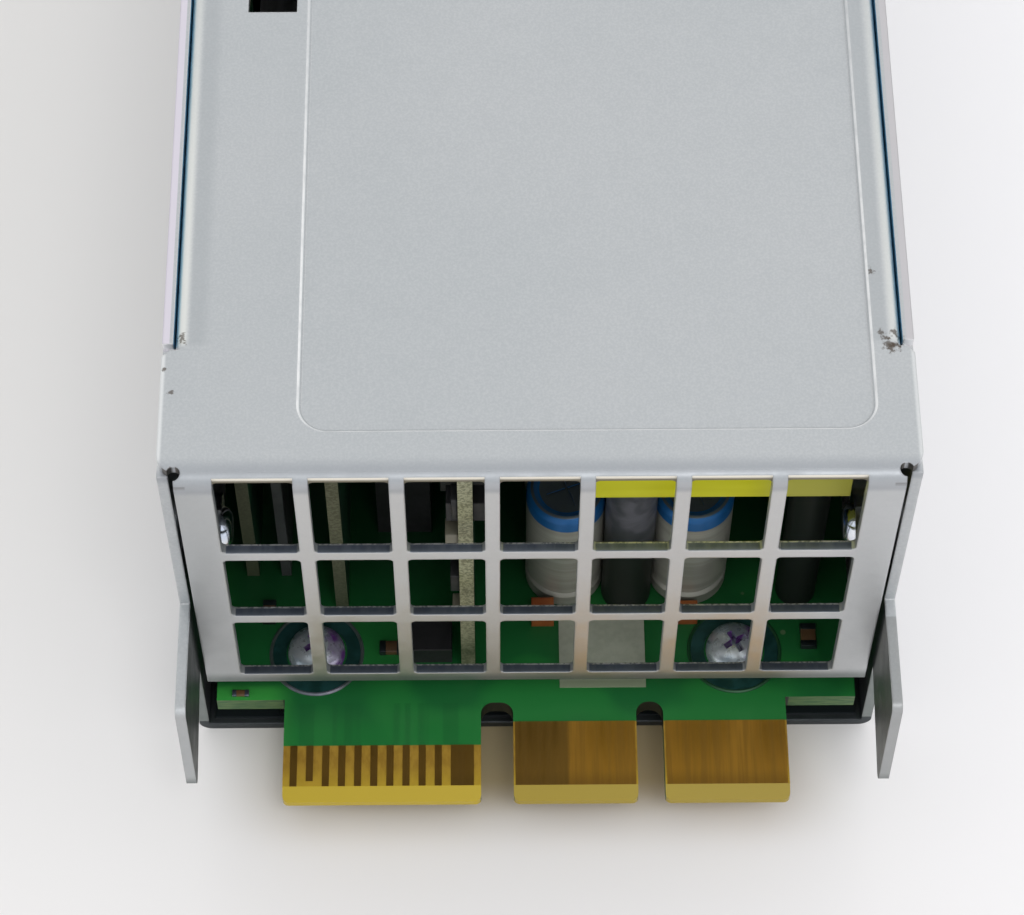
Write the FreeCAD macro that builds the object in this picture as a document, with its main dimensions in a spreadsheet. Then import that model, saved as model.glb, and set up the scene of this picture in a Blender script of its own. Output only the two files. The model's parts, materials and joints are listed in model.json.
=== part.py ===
import FreeCAD, Part
import math
import operator
import os
from types import SimpleNamespace

import Sketcher

# Hot swap server power supply, 54.5 x 40 mm class.
# Frame: origin on the underside of the case, midway along it and midway across it.
# -Y is the connector end, +Y the handle end, +Z up.

DIMENSIONS = [
    # case and sheet metal
    ("case_width", 54.5, "outside width over the side walls"),
    ("case_height", 40.0, "outside height"),
    ("case_length", 219.5, "grille face to front panel face"),
    ("gauge", 0.8, "sheet thickness"),
    ("bend_outer", 1.1, "outside bend radius"),
    ("bend_inner", 0.3, "inside bend radius"),
    ("cover_gap", 0.15, "wall to cover flange"),
    ("flange_depth", 9.0, "cover flange, down from the top"),
    ("wing_length", 11.2, "wings that lie on the walls, back from the grille face"),
    ("wing_setback", 0.9, "grille face to the front edge of the wings"),
    ("wing_radius", 1.5, "front corners of the wings"),
    ("notch_gap", 0.5, "relief between wing and flange"),
    # grille
    ("face_gap", 0.45, "wall to the side edge of the grille face"),
    ("face_bottom", 8.5, "lower edge of the grille face"),
    ("grille_margin", 2.714, "side edge of the grille face to the openings"),
    ("opening_height", 8.88, "grille opening"),
    ("opening_base", 9.75, "lower edge of the lowest openings"),
    ("opening_radius", 0.4, "corners of the openings"),
    ("column_bar", 1.077, "upright bar between openings"),
    ("row_bar", 1.05, "level bar between openings"),
    ("bend_cut", 0.5, "highest openings, round the bend and back from the grille face"),
    ("corner_relief", 0.5, "radius of the relief holes at the face's top corners"),
    # recessed panel and slot in the cover
    ("panel_left", 17.1, "recessed panel, left of centre"),
    ("panel_right_gap", 2.3, "recessed panel to the cover's right side"),
    ("panel_start", 4.5, "grille face to the recessed panel"),
    ("panel_length", 145.0, "recessed panel"),
    ("panel_depth", 0.35, "recess"),
    ("panel_radius", 2.0, "corners of the recessed panel"),
    ("slot_left", 22.0, "slot, left of centre"),
    ("slot_width", 3.76, "slot"),
    ("slot_start", 41.9, "grille face to the slot"),
    ("slot_length", 12.0, "slot"),
    # ears of the tray
    ("wall_setback", 1.0, "grille face to the wall's end above the ears"),
    ("floor_reach", 0.05, "floor beyond the grille face"),
    ("ear_top", 19.9, "height of the ears' upper edge"),
    ("ear_root", 10.4, "height of the ears' lower edge at the wall"),
    ("ear_tip", 8.2, "height of the ears' lower corner"),
    ("ear_reach", 8.3, "upper corner beyond the grille face"),
    ("ear_tip_reach", 9.05, "lower corner beyond the grille face"),
    # main board and card edge
    ("board_top", 5.6, "height of the board's upper face"),
    ("board_thickness", 1.6, "board"),
    ("board_side_gap", 0.95, "board to wall"),
    ("shoulder_reach", 0.25, "board beyond the grille face"),
    ("tab_reach", 8.95, "tongues beyond the grille face"),
    ("tab_bevel", 1.15, "length of the tongue's bevelled tip"),
    ("bevel_depth", 0.5, "depth of the bevel"),
    ("tab_slot_reach", 0.6, "end of the slots between tongues"),
    ("signal_tab_left", 20.07, "signal tongue, left of centre"),
    ("signal_tab_width", 15.65, "signal tongue"),
    ("middle_tab_right", 7.95, "middle tongue, right of centre"),
    ("power_tab_width", 9.8, "the two power tongues"),
    ("last_tab_right", 19.9, "last tongue, right of centre"),
    ("finger_pitch", 1.27, "signal contacts"),
    ("finger_gap", 0.72, "between signal contacts"),
    ("signal_contact_start", 4.3, "grille face to the signal contacts"),
    ("power_contact_start", 2.3, "grille face to the power contacts"),
    ("contact_thickness", 0.05, "plated contact"),
    ("late_contact", 0.45, "second signal contact, shorter at the tip"),
    ("board_clearance", 3.0, "main board's end to the fan"),
    ("board_basis", 154.5, "board behind the grille that the power train's places are given for"),
    # fixings
    ("screw_head", 2.3, "radius of the board screws' heads"),
    ("screw_radius", 1.25, "board screws"),
    ("post_radius", 2.75, "board standoffs"),
    ("left_screw_x", 17.6, "front left board screw, left of centre"),
    ("right_screw_x", 16.0, "front right board screw, right of centre"),
    ("front_screw_y", 3.9, "grille face to the front board screws"),
    ("clip_screw_z", 26.0, "height of the cover screws at the grille"),
    ("clip_screw_y", 4.2, "grille face to those screws"),
    ("film", 0.25, "insulating sheet"),
    # cards
    ("card_thickness", 1.1, "upright cards"),
    ("card_gap", 3.1, "upright cards to the cover"),
    ("control_card_x", 5.95, "control card, left of centre"),
    ("control_card_y", 2.3, "grille face to the control card"),
    ("driver_card_x", 16.1, "driver card, left of centre"),
    ("driver_card_y", 8.0, "grille face to the driver card"),
    ("rectifier_card_gap", 2.1, "rectifier card to the board's left side"),
    ("spreader_gap", 4.9, "heat spreader to the board's left side"),
    ("rear_cards_y", 11.0, "grille face to the rectifier card and spreader"),
    ("card_length", 38.0, "upright cards"),
    # output filter
    ("can_radius", 3.15, "output capacitors"),
    ("can_height", 14.0, "output capacitors"),
    ("can_x", 2.4, "first output capacitor, right of centre"),
    ("can_y", 11.15, "grille face to the first output capacitors"),
    ("can_pitch_x", 10.0, "output capacitors across"),
    ("can_pitch_y", 8.6, "output capacitors along"),
    ("choke_left", 3.6, "output choke, right of centre"),
    ("choke_side_gap", 2.5, "output choke to the board's right side"),
    ("choke_y", 4.0, "grille face to the output choke"),
    ("choke_depth", 12.5, "output choke"),
    ("choke_top_gap", 1.4, "output choke to the cover"),
    ("choke_height", 7.2, "output choke"),
    ("tape", 0.4, "tape round the choke"),
    # power train
    ("component_gap", 0.1, "between mating component parts"),
    ("wire_gauge", 1.2, "enamelled wire of the chokes"),
    ("sink_plate", 2.5, "heat sink's back plate"),
    ("sink_fin", 1.2, "heat sink's fins"),
    ("mains_wire", 0.9, "radius of the insulated mains wires"),
    # fan
    ("fan_slack", 0.4, "fan frame in the height of the case"),
    ("fan_depth", 28.0, "fan frame"),
    ("fan_setback", 34.0, "fan to the front panel face"),
    ("fan_rim", 1.1, "fan's duct to the frame's sides"),
    ("blade_gap", 0.6, "blade tips to the duct"),
    ("hub_radius", 9.5, "fan hub"),
    ("hub_wall", 1.0, "fan hub"),
    ("fan_shaft", 1.5, "radius of the fan's shaft"),
    ("running_gap", 0.05, "round shafts and pins"),
    # inlet
    ("inlet_left", 9.5, "inlet's centre, left of centre"),
    ("inlet_height", 16.5, "inlet's centre"),
    ("inlet_width", 27.0, "panel cut-out"),
    ("inlet_tall", 20.0, "panel cut-out"),
    ("inlet_corner", 4.0, "chamfered corners of the inlet"),
    ("inlet_rim", 1.85, "flange beyond the cut-out"),
    ("inlet_flange", 2.0, "flange thickness"),
    ("inlet_depth", 16.0, "inlet behind the panel face"),
    ("inlet_wall", 1.3, "inlet shell"),
    ("pin_spacing", 7.0, "line and neutral pins from the centre"),
    ("pin_tall", 4.0, "inlet pins"),
    ("pin_thick", 2.0, "inlet pins"),
    ("pin_recess", 4.6, "rim to the pins' tips"),
    # bail
    ("bail_rod", 1.5, "radius of the bail's rod"),
    ("bail_drop", 23.5, "pivot to the grip"),
    ("bail_reach", 6.0, "front panel face to the pivot"),
    ("bail_top_gap", 7.0, "top of the case to the pivot"),
    ("bail_side_gap", 5.55, "arms from the case's sides"),
    ("grip_radius", 2.75, "bail's grip"),
    ("grip_length", 26.0, "bail's grip"),
    ("bail_ear", 1.0, "thickness of the ears"),
    ("bail_bend", 4.0, "bends at the grip, to the rod's centre"),
    ("pivot_bend", 2.4, "bends at the pivots, to the rod's centre"),
    # latch
    ("latch_pivot_setback", 52.0, "latch pin to the front panel face"),
    ("lever_thickness", 1.2, "release lever"),
    ("lever_base", 14.0, "lower edge of the lever"),
    ("lever_tall", 12.0, "release lever"),
    ("lever_wall_gap", 2.6, "lever to the side wall"),
    ("lever_inset", 11.0, "the outer end's centre from the wall's inside"),
    ("catch_reach", 1.5, "catch beyond the side wall"),
    ("catch_setback", 19.0, "locking face to the front panel face"),
    ("catch_length", 6.0, "catch"),
    ("latch_pin_radius", 1.0, "latch pin"),
    ("latch_boss", 2.2, "radius of the lever's boss"),
    ("spring_room", 3.6, "room for the coil above the lever"),
    ("spring_wire", 0.5, "spring wire"),
    ("tab_depth", 10.0, "release tab"),
    ("tab_width", 6.0, "release tab"),
    # vents of the front panel
    ("hex_flat", 3.2, "vent across flats"),
    ("hex_pitch", 4.0, "vents"),
]

SIGNS = {"+": operator.add, "-": operator.sub, "*": operator.mul, "/": operator.truediv}


class Size:
    """A number together with the sheet formula that it comes from."""

    def __init__(self, number, formula):
        self.number = number
        self.formula = formula

    def join(self, sign, other):
        other = as_size(other)
        number = SIGNS[sign](self.number, other.number)
        return Size(number, f"({self.formula} {sign} {other.formula})")

    def __add__(self, other):
        return self.join("+", other)

    def __radd__(self, other):
        return as_size(other).join("+", self)

    def __sub__(self, other):
        return self.join("-", other)

    def __rsub__(self, other):
        return as_size(other).join("-", self)

    def __mul__(self, other):
        return self.join("*", other)

    def __rmul__(self, other):
        return as_size(other).join("*", self)

    def __truediv__(self, other):
        return self.join("/", other)

    def __neg__(self):
        return as_size(0).join("-", self)

    def __float__(self):
        return self.number


def as_size(value):
    if isinstance(value, Size):
        return value
    if value < 0:
        return Size(float(value), f"(0 - {-float(value)!r})")
    return Size(float(value), repr(float(value)))


doc = FreeCAD.newDocument("power_supply")
sheet = doc.addObject("Spreadsheet::Sheet", "dim")
size = SimpleNamespace()
for row, (alias, value, note) in enumerate(DIMENSIONS, start=1):
    sheet.set(f"A{row}", alias)
    sheet.set(f"B{row}", str(value))
    sheet.set(f"C{row}", note)
    sheet.setAlias(f"B{row}", alias)
    setattr(size, alias, Size(float(value), f"dim.{alias}"))
doc.recompute()

# Places that several sub-parts share
half = size.case_width / 2
wall_in = half - size.gauge
cover_side = wall_in - size.cover_gap
top = size.case_height
cover_under = top - size.gauge
rear = -(size.case_length / 2)
front = size.case_length / 2
board_side = wall_in - size.board_side_gap
board_under = size.board_top - size.board_thickness
tip = rear - size.tab_reach
flange_low = top - size.flange_depth
sheet_inside = rear + size.gauge
fan_front = front - size.fan_setback
fan_rear = fan_front - size.fan_depth
fan_size = cover_under - size.gauge - size.fan_slack
fan_z = size.gauge + size.fan_slack / 2 + fan_size / 2
fan_bore = fan_size / 2 - size.fan_rim
board_end = fan_rear - size.board_clearance
bail_z = top - size.bail_top_gap
bail_half = half - size.bail_side_gap

# The power train spreads or closes up with the board.
stretch = (board_end - rear) / size.board_basis


def from_grille(distance):
    """Place of a power train component, from the grille face."""
    return rear + stretch * distance


PARTS = []
AXES = {
    "x": FreeCAD.Vector(1, 0, 0),
    "y": FreeCAD.Vector(0, 1, 0),
    "z": FreeCAD.Vector(0, 0, 1),
}
TURNS = {
    "x": FreeCAD.Rotation(AXES["y"], 90),
    "-x": FreeCAD.Rotation(AXES["y"], -90),
    "y": FreeCAD.Rotation(AXES["x"], -90),
    "-y": FreeCAD.Rotation(AXES["x"], 90),
    "z": FreeCAD.Rotation(),
}


# ---- drawing helpers -------------------------------------------------------------------

def bind(item, **sizes):
    """Give properties their values and tie them to the sheet."""
    for name, value in sizes.items():
        value = as_size(value)
        setattr(item, name, value.number)
        item.setExpression(name, value.formula)


def place(item, at, turn=None):
    """Put an object at a bound position, turned by a rotation."""
    corner = [as_size(value) for value in at]
    base = FreeCAD.Vector(*(value.number for value in corner))
    item.Placement = FreeCAD.Placement(base, turn or FreeCAD.Rotation())
    for letter, value in zip("xyz", corner):
        item.setExpression(f"Placement.Base.{letter}", value.formula)


def new_body(name):
    body = doc.addObject("PartDesign::Body", name)
    body.Label = name
    PARTS.append(body)
    return body


def origin_part(body, role):
    return next(item for item in body.Origin.OriginFeatures if item.Role == role)


def sketch_on(body, role, offset, name):
    """Sketch parallel to an origin plane, moved along the plane's normal."""
    sketch = body.newObject("Sketcher::SketchObject", name)
    sketch.AttachmentSupport = [(origin_part(body, role), "")]
    sketch.MapMode = "FlatFace"
    offset = as_size(offset)
    sketch.setExpression("AttachmentOffset.Base.z", offset.formula)
    return sketch


def level(body, z, name):
    """Sketch with X to the right and Y up, at a height."""
    return sketch_on(body, "XY_Plane", z, name)


def across(body, y, name):
    """Sketch with X to the right and Z up, at a place along the case."""
    return sketch_on(body, "XZ_Plane", -as_size(y), name)


def sideways(body, x, name):
    """Sketch with Y to the right and Z up, at a place across the case."""
    return sketch_on(body, "YZ_Plane", x, name)


def constrain(sketch, *terms):
    """Add a constraint whose last term is a size, tied to the sheet."""
    value = as_size(terms[-1])
    index = sketch.addConstraint(Sketcher.Constraint(*terms[:-1], value.number))
    sketch.setExpression(f"Constraints[{index}]", value.formula)


def pin_point(sketch, line, end, x, y):
    constrain(sketch, "DistanceX", line, end, x)
    constrain(sketch, "DistanceY", line, end, y)


def vector(x, y):
    return FreeCAD.Vector(float(x), float(y), 0)


def draw_loop(sketch, corners):
    """Closed outline of straight lines through bound corners."""
    first = sketch.GeometryCount
    count = len(corners)
    for index, corner in enumerate(corners):
        following = corners[(index + 1) % count]
        sketch.addGeometry(Part.LineSegment(vector(*corner), vector(*following)))
    for index, corner in enumerate(corners):
        after = first + (index + 1) % count
        sketch.addConstraint(Sketcher.Constraint("Coincident", first + index, 2, after, 1))
        pin_point(sketch, first + index, 1, *corner)


def draw_circle(sketch, x, y, radius):
    line = sketch.addGeometry(Part.Circle(vector(x, y), AXES["z"], float(radius)))
    pin_point(sketch, line, 3, x, y)
    constrain(sketch, "Radius", line, radius)


def draw_polygon(sketch, x, y, radius, sides):
    """Regular polygon round a circle of the radius, with upright and level sides."""
    corner = radius / math.cos(math.pi / sides)
    angles = [math.pi * (2 * number + 1) / sides for number in range(sides)]
    draw_loop(sketch, [(x + corner * math.cos(a), y + corner * math.sin(a)) for a in angles])


def draw_rounded(sketch, x, y, radius):
    """Rectangle with round corners; x and y are (low, high) pairs."""
    bend = float(radius)
    centres = [(x[1], y[0], -90), (x[1], y[1], 0), (x[0], y[1], 90), (x[0], y[0], 180)]
    first = sketch.GeometryCount
    for corner_x, corner_y, start in centres:
        inward_x = bend if corner_x is x[0] else -bend
        inward_y = bend if corner_y is y[0] else -bend
        centre = vector(float(corner_x) + inward_x, float(corner_y) + inward_y)
        circle = Part.Circle(centre, AXES["z"], bend)
        begin = math.radians(start)
        sketch.addGeometry(Part.ArcOfCircle(circle, begin, begin + math.pi / 2))
    sides = [
        ((x[1], y[0] + radius), (x[1], y[1] - radius)),
        ((x[1] - radius, y[1]), (x[0] + radius, y[1])),
        ((x[0], y[1] - radius), (x[0], y[0] + radius)),
        ((x[0] + radius, y[0]), (x[1] - radius, y[0])),
    ]
    for number, (begin, end) in enumerate(sides):
        line = sketch.addGeometry(Part.LineSegment(vector(*begin), vector(*end)))
        pin_point(sketch, line, 1, *begin)
        pin_point(sketch, line, 2, *end)
        arc = first + number
        following = first + (number + 1) % 4
        sketch.addConstraint(Sketcher.Constraint("Coincident", arc, 2, line, 1))
        sketch.addConstraint(Sketcher.Constraint("Coincident", line, 2, following, 1))
    for number in range(4):
        constrain(sketch, "Radius", first + number, radius)


# ---- features --------------------------------------------------------------------------

def pad(body, sketch, length, name, backwards=False, centred=False):
    item = body.newObject("PartDesign::Pad", name)
    item.Profile = sketch
    bind(item, Length=length)
    item.Reversed = backwards
    item.Midplane = centred
    return item


def pocket(body, sketch, length, name, backwards=False, centred=False):
    item = body.newObject("PartDesign::Pocket", name)
    item.Profile = sketch
    bind(item, Length=length)
    item.Reversed = backwards
    item.Midplane = centred
    return item


def turned(body, sketch, name, axis="V_Axis"):
    """Revolve a half section about one of its sketch axes."""
    item = body.newObject("PartDesign::Revolution", name)
    item.Profile = sketch
    item.ReferenceAxis = (sketch, [axis])
    item.Angle = 360
    return item


def block(body, name, x, y, z, cut=False):
    """Box added to a body or cut from it; x, y and z are (low, high) pairs."""
    kind = "SubtractiveBox" if cut else "AdditiveBox"
    item = body.newObject(f"PartDesign::{kind}", name)
    bind(item, Length=x[1] - x[0], Width=y[1] - y[0], Height=z[1] - z[0])
    place(item, (x[0], y[0], z[0]))
    return item


def rod(body, name, at, radius, length, along, cut=False):
    """Cylinder added to a body or cut from it, starting at a point."""
    kind = "SubtractiveCylinder" if cut else "AdditiveCylinder"
    item = body.newObject(f"PartDesign::{kind}", name)
    bind(item, Radius=radius, Height=length)
    place(item, at, TURNS[along])
    return item


def cone(body, name, at, radii, length, along, cut=False):
    """Cone added to a body or cut from it, first radius at the start point."""
    kind = "SubtractiveCone" if cut else "AdditiveCone"
    item = body.newObject(f"PartDesign::{kind}", name)
    bind(item, Radius1=radii[0], Radius2=radii[1], Height=length)
    place(item, at, TURNS[along])
    return item


def repeat(body, original, name, axis, length, count, second=None):
    """Linear pattern along one axis, or two where second is (axis, length, count)."""
    item = body.newObject("PartDesign::LinearPattern", name)
    item.Originals = [original]
    item.Direction = (origin_part(body, f"{axis}_Axis"), [""])
    bind(item, Length=length)
    item.Occurrences = count
    if second:
        item.Direction2 = (origin_part(body, f"{second[0]}_Axis"), [""])
        bind(item, Length2=second[1])
        item.Occurrences2 = second[2]
    body.Tip = item
    return item


def hexagonal(body, name, at, radius, length, along_axis):
    """Hexagonal bar that starts at a point; the radius is that of the circle inside it."""
    item = body.newObject("PartDesign::AdditivePrism", name)
    item.Polygon = 6
    bind(item, Circumradius=radius / math.cos(math.pi / 6), Height=length)
    place(item, at, TURNS[along_axis])
    return item


def near(value, target):
    return abs(value - float(target)) < 0.02


def edges_at(feature, direction, test):
    """Names of the straight edges that run along a direction and pass a test."""
    doc.recompute()
    names = []
    for number, edge in enumerate(feature.Shape.Edges, start=1):
        if not isinstance(edge.Curve, Part.Line):
            continue
        along = abs(edge.Curve.Direction.dot(AXES[direction]))
        if along > 0.999 and test(edge.CenterOfMass):
            names.append(f"Edge{number}")
    return names


def soften(body, feature, name, radius, edges, kind="Fillet"):
    """Fillet or chamfer the named edges of a feature."""
    item = body.newObject(f"PartDesign::{kind}", name)
    item.Base = (feature, edges)
    bind(item, **{"Radius" if kind == "Fillet" else "Size": radius})
    body.Tip = item
    return item


# ---- case ------------------------------------------------------------------------------

cover_screw_places = [
    (rear + size.clip_screw_y, size.clip_screw_z),
    (as_size(0), top - size.flange_depth / 2),
    (front - 18, top - size.flange_depth / 2),
]
panel_screw_places = [(front - 6, as_size(8)), (front - 6, as_size(24))]
baffle_screw = (fan_rear - 5.5, as_size(18))
post_places = [
    (-size.left_screw_x, rear + size.front_screw_y),
    (size.right_screw_x, rear + size.front_screw_y),
    (-(board_side - 3.6), from_grille(55.75)),
    (board_side - 3.6, from_grille(55.75)),
    (-(board_side - 3.6), board_end - 4.5),
    (board_side - 3.6, board_end - 4.5),
]
sink_radius = as_size(2.6)
shank_radius = as_size(1.45)
catch_rear = front - size.catch_setback - size.catch_length


def mirrored(value):
    """The same distance to the left and to the right, with the way that points inwards."""
    return [("left", -value, "x"), ("right", value, "-x")]


def side_holes(body, places, prefix):
    """Countersunk holes through both side walls."""
    for number, (y, z) in enumerate(places):
        for side, x, inwards in mirrored(half):
            radii = (sink_radius + 0.05, shank_radius + 0.1)
            cone(body, f"{prefix}_{side}_{number}", (x, y, z), radii, size.gauge, inwards, cut=True)


def make_tray():
    body = new_body("chassis_tray")
    section = across(body, front, "tray_section")
    draw_loop(section, [
        (-half, 0), (half, 0), (half, top), (wall_in, top),
        (wall_in, size.gauge), (-wall_in, size.gauge), (-wall_in, top), (-half, top),
    ])
    channel = pad(body, section, size.case_length + size.ear_tip_reach, "channel")
    outer = edges_at(channel, "y", lambda p: near(p.z, 0) and near(abs(p.x), half))
    bend = soften(body, channel, "outer_bends", size.bend_outer, outer)
    inner = edges_at(bend, "y", lambda p: near(p.z, size.gauge) and near(abs(p.x), wall_in))
    soften(body, bend, "inner_bends", size.bend_inner, inner)
    # The ears are what is left of the walls beyond the grille face.
    clear = rear - size.ear_tip_reach - 1
    profile = sideways(body, 0, "ear_profile")
    draw_loop(profile, [
        (clear, -1), (rear - size.floor_reach, -1), (rear - size.floor_reach, size.ear_root),
        (rear - size.ear_tip_reach, size.ear_tip), (rear - size.ear_reach, size.ear_top),
        (rear + size.wall_setback, size.ear_top), (rear + size.wall_setback, top + 1),
        (clear, top + 1),
    ])
    ears = pocket(body, profile, size.case_width + 2, "ears", centred=True)
    corners = edges_at(ears, "x", lambda p: p.y < float(rear - size.ear_reach) + 0.02)
    soften(body, ears, "ear_corners", 0.7, corners)
    # The wings of the cover lie on the lowered tops of the walls.
    seat_end = rear + size.wing_length + size.notch_gap
    across_all = (-half - 1, half + 1)
    block(body, "wing_seat", across_all, (rear - 1, seat_end), (cover_under, top + 1), cut=True)
    # Window for the latch's catch.
    window_y = (catch_rear - 1, front - size.catch_setback + 1)
    window_z = (size.lever_base + 2, size.lever_base + size.lever_tall - 2)
    block(body, "catch_window", (wall_in - 1, half + 1), window_y, window_z, cut=True)
    side_holes(body, cover_screw_places, "cover_hole")
    side_holes(body, [*panel_screw_places, baffle_screw], "panel_hole")


def make_cover():
    body = new_body("top_cover")
    face_half = wall_in - size.face_gap
    profile = sideways(body, 0, "cover_profile")
    draw_loop(profile, [
        (rear, size.face_bottom), (rear, top), (front, top), (front, cover_under),
        (sheet_inside, cover_under), (sheet_inside, size.face_bottom),
    ])
    plate = pad(body, profile, cover_side * 2, "plate", centred=True)
    outer = edges_at(plate, "x", lambda p: near(p.y, rear) and near(p.z, top))
    outside = soften(body, plate, "outer_bend", size.bend_outer, outer)
    inner = edges_at(outside, "x", lambda p: near(p.y, sheet_inside) and near(p.z, cover_under))
    soften(body, outside, "inner_bend", size.bend_inner, inner)
    wing_y = (rear + size.wing_setback, rear + size.wing_length)
    flange_y = (wing_y[1] + size.notch_gap, front - 12)
    # The face and the bend are narrower than the top.
    for side, x, _ in mirrored(face_half):
        span = (x - 2, x) if side == "left" else (x, x + 2)
        block(body, f"trim_{side}", span, (rear - 1, wing_y[0]), (as_size(0), top + 1), cut=True)
    wings = block(body, "wings", (-half, half), wing_y, (cover_under, top))
    corners = edges_at(wings, "z", lambda p: near(abs(p.x), half) and near(p.y, wing_y[0]))
    rounded = soften(body, wings, "wing_corners", size.wing_radius, corners)
    shoulders = edges_at(rounded, "z", lambda p: near(abs(p.x), half) and near(p.y, wing_y[1]))
    soften(body, rounded, "wing_shoulders", 0.6, shoulders, kind="Chamfer")
    for side, x, _ in mirrored(cover_side):
        span = (x, x + size.gauge) if side == "left" else (x - size.gauge, x)
        flange = block(body, f"flange_{side}", span, flange_y, (flange_low, top))
    hems = edges_at(flange, "y", lambda p: near(p.z, top) and near(abs(p.x), cover_side))
    soften(body, flange, "flange_bends", 0.6, hems)
    # Lugs behind the face take the screws next to the grille.
    for side, x, _ in mirrored(face_half):
        span = (x, x + size.gauge) if side == "left" else (x - size.gauge, x)
        lug_y = (rear + size.gauge / 2, rear + size.clip_screw_y + 3.5)
        lug_z = (size.clip_screw_z - 3.5, size.clip_screw_z + 3.5)
        block(body, f"lug_{side}", span, lug_y, lug_z)
    for side, x, _ in mirrored(face_half):
        at = (x, wing_y[0], cover_under - 1)
        rod(body, f"relief_{side}", at, size.corner_relief, size.gauge + 2, "z", cut=True)
    # Grille: two rows of like openings, and a taller row that reaches round the bend.
    grille_half = face_half - size.grille_margin
    opening_width = (grille_half * 2 - size.column_bar * 6) / 7
    column = opening_width + size.column_bar
    row = size.opening_height + size.row_bar
    first_x = (-grille_half, -grille_half + opening_width)
    low = size.opening_base
    opening = across(body, rear, "opening")
    draw_rounded(opening, first_x, (low, low + size.opening_height), size.opening_radius)
    window = pocket(body, opening, size.gauge, "window")
    repeat(body, window, "windows", "X", column * 6, 7, ("Z", row, 2))
    high_z = (low + row * 2, cover_under)
    for name, ceiling, depth in (("high", cover_under, size.gauge), ("bent", top + 1, size.bend_cut)):
        outline = across(body, rear, f"{name}_opening")
        draw_rounded(outline, first_x, (high_z[0], ceiling), size.opening_radius)
        cut = pocket(body, outline, depth, f"{name}_window")
        repeat(body, cut, f"{name}_windows", "X", column * 6, 7)
    # Recessed panel: pressed down, so the sheet keeps its thickness below it.
    panel_x = (-size.panel_left, cover_side - size.panel_right_gap)
    panel_y = (rear + size.panel_start, rear + size.panel_start + size.panel_length)
    under = level(body, cover_under - size.panel_depth, "panel_under")
    draw_rounded(under, panel_x, panel_y, size.panel_radius)
    pad(body, under, size.panel_depth, "panel_swell")
    recess = level(body, top, "panel_outline")
    draw_rounded(recess, panel_x, panel_y, size.panel_radius)
    sunk = pocket(body, recess, size.panel_depth, "recessed_panel")
    brim = edges_at(sunk, "y", lambda p: near(p.x, panel_x[1]) and near(p.z, top))
    soften(body, sunk, "panel_slope", size.panel_depth - 0.05, brim, kind="Chamfer")
    slot_x = (-size.slot_left, -size.slot_left + size.slot_width)
    slot_y = (rear + size.slot_start, rear + size.slot_start + size.slot_length)
    block(body, "keying_slot", slot_x, slot_y, (cover_under - 1, top + 1), cut=True)
    for number, (y, z) in enumerate(cover_screw_places):
        for side, x, inwards in mirrored(half):
            hole = shank_radius + 0.1
            rod(body, f"hole_{side}_{number}", (x, y, z), hole, 4, inwards, cut=True)


def make_cover_fixings():
    screws = new_body("cover_screws")
    for number, (y, z) in enumerate(cover_screw_places):
        for side, x, inwards in mirrored(half):
            name = f"{side}_{number}"
            cone(screws, f"head_{name}", (x, y, z), (sink_radius, shank_radius), size.gauge, inwards)
            rod(screws, f"shank_{name}", (x, y, z), shank_radius, 4.4, inwards)
    nuts = new_body("cover_nuts")
    for number, (y, z) in enumerate(cover_screw_places):
        seat = wall_in - (size.face_gap if number == 0 else size.cover_gap) - size.gauge
        for side, x, inwards in mirrored(seat):
            name = f"{side}_{number}"
            hexagonal(nuts, f"nut_{name}", (x, y, z), 2.3, 1.6, inwards)
            rod(nuts, f"thread_{name}", (x, y, z), shank_radius + 0.02, 1.6, inwards, cut=True)


def hexagon(sketch, x, y, flat):
    """Regular hexagon with two upright sides."""
    corner = flat / math.sqrt(3)
    draw_loop(sketch, [
        (x, y - corner), (x + flat / 2, y - corner / 2), (x + flat / 2, y + corner / 2),
        (x, y + corner), (x - flat / 2, y + corner / 2), (x - flat / 2, y - corner / 2),
    ])


def inlet_outline(width, tall, corner):
    """Rectangle round the inlet's centre with its two upper corners cut off."""
    x = -size.inlet_left
    z = size.inlet_height
    return [
        (x - width / 2, z - tall / 2), (x + width / 2, z - tall / 2),
        (x + width / 2, z + tall / 2 - corner), (x + width / 2 - corner, z + tall / 2),
        (x - width / 2 + corner, z + tall / 2), (x - width / 2, z + tall / 2 - corner),
    ]


lever_out_x = wall_in - size.lever_inset
bail_y = front + size.bail_reach
ear_out = bail_half + size.bail_rod + 1.0 + size.bail_ear


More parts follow.
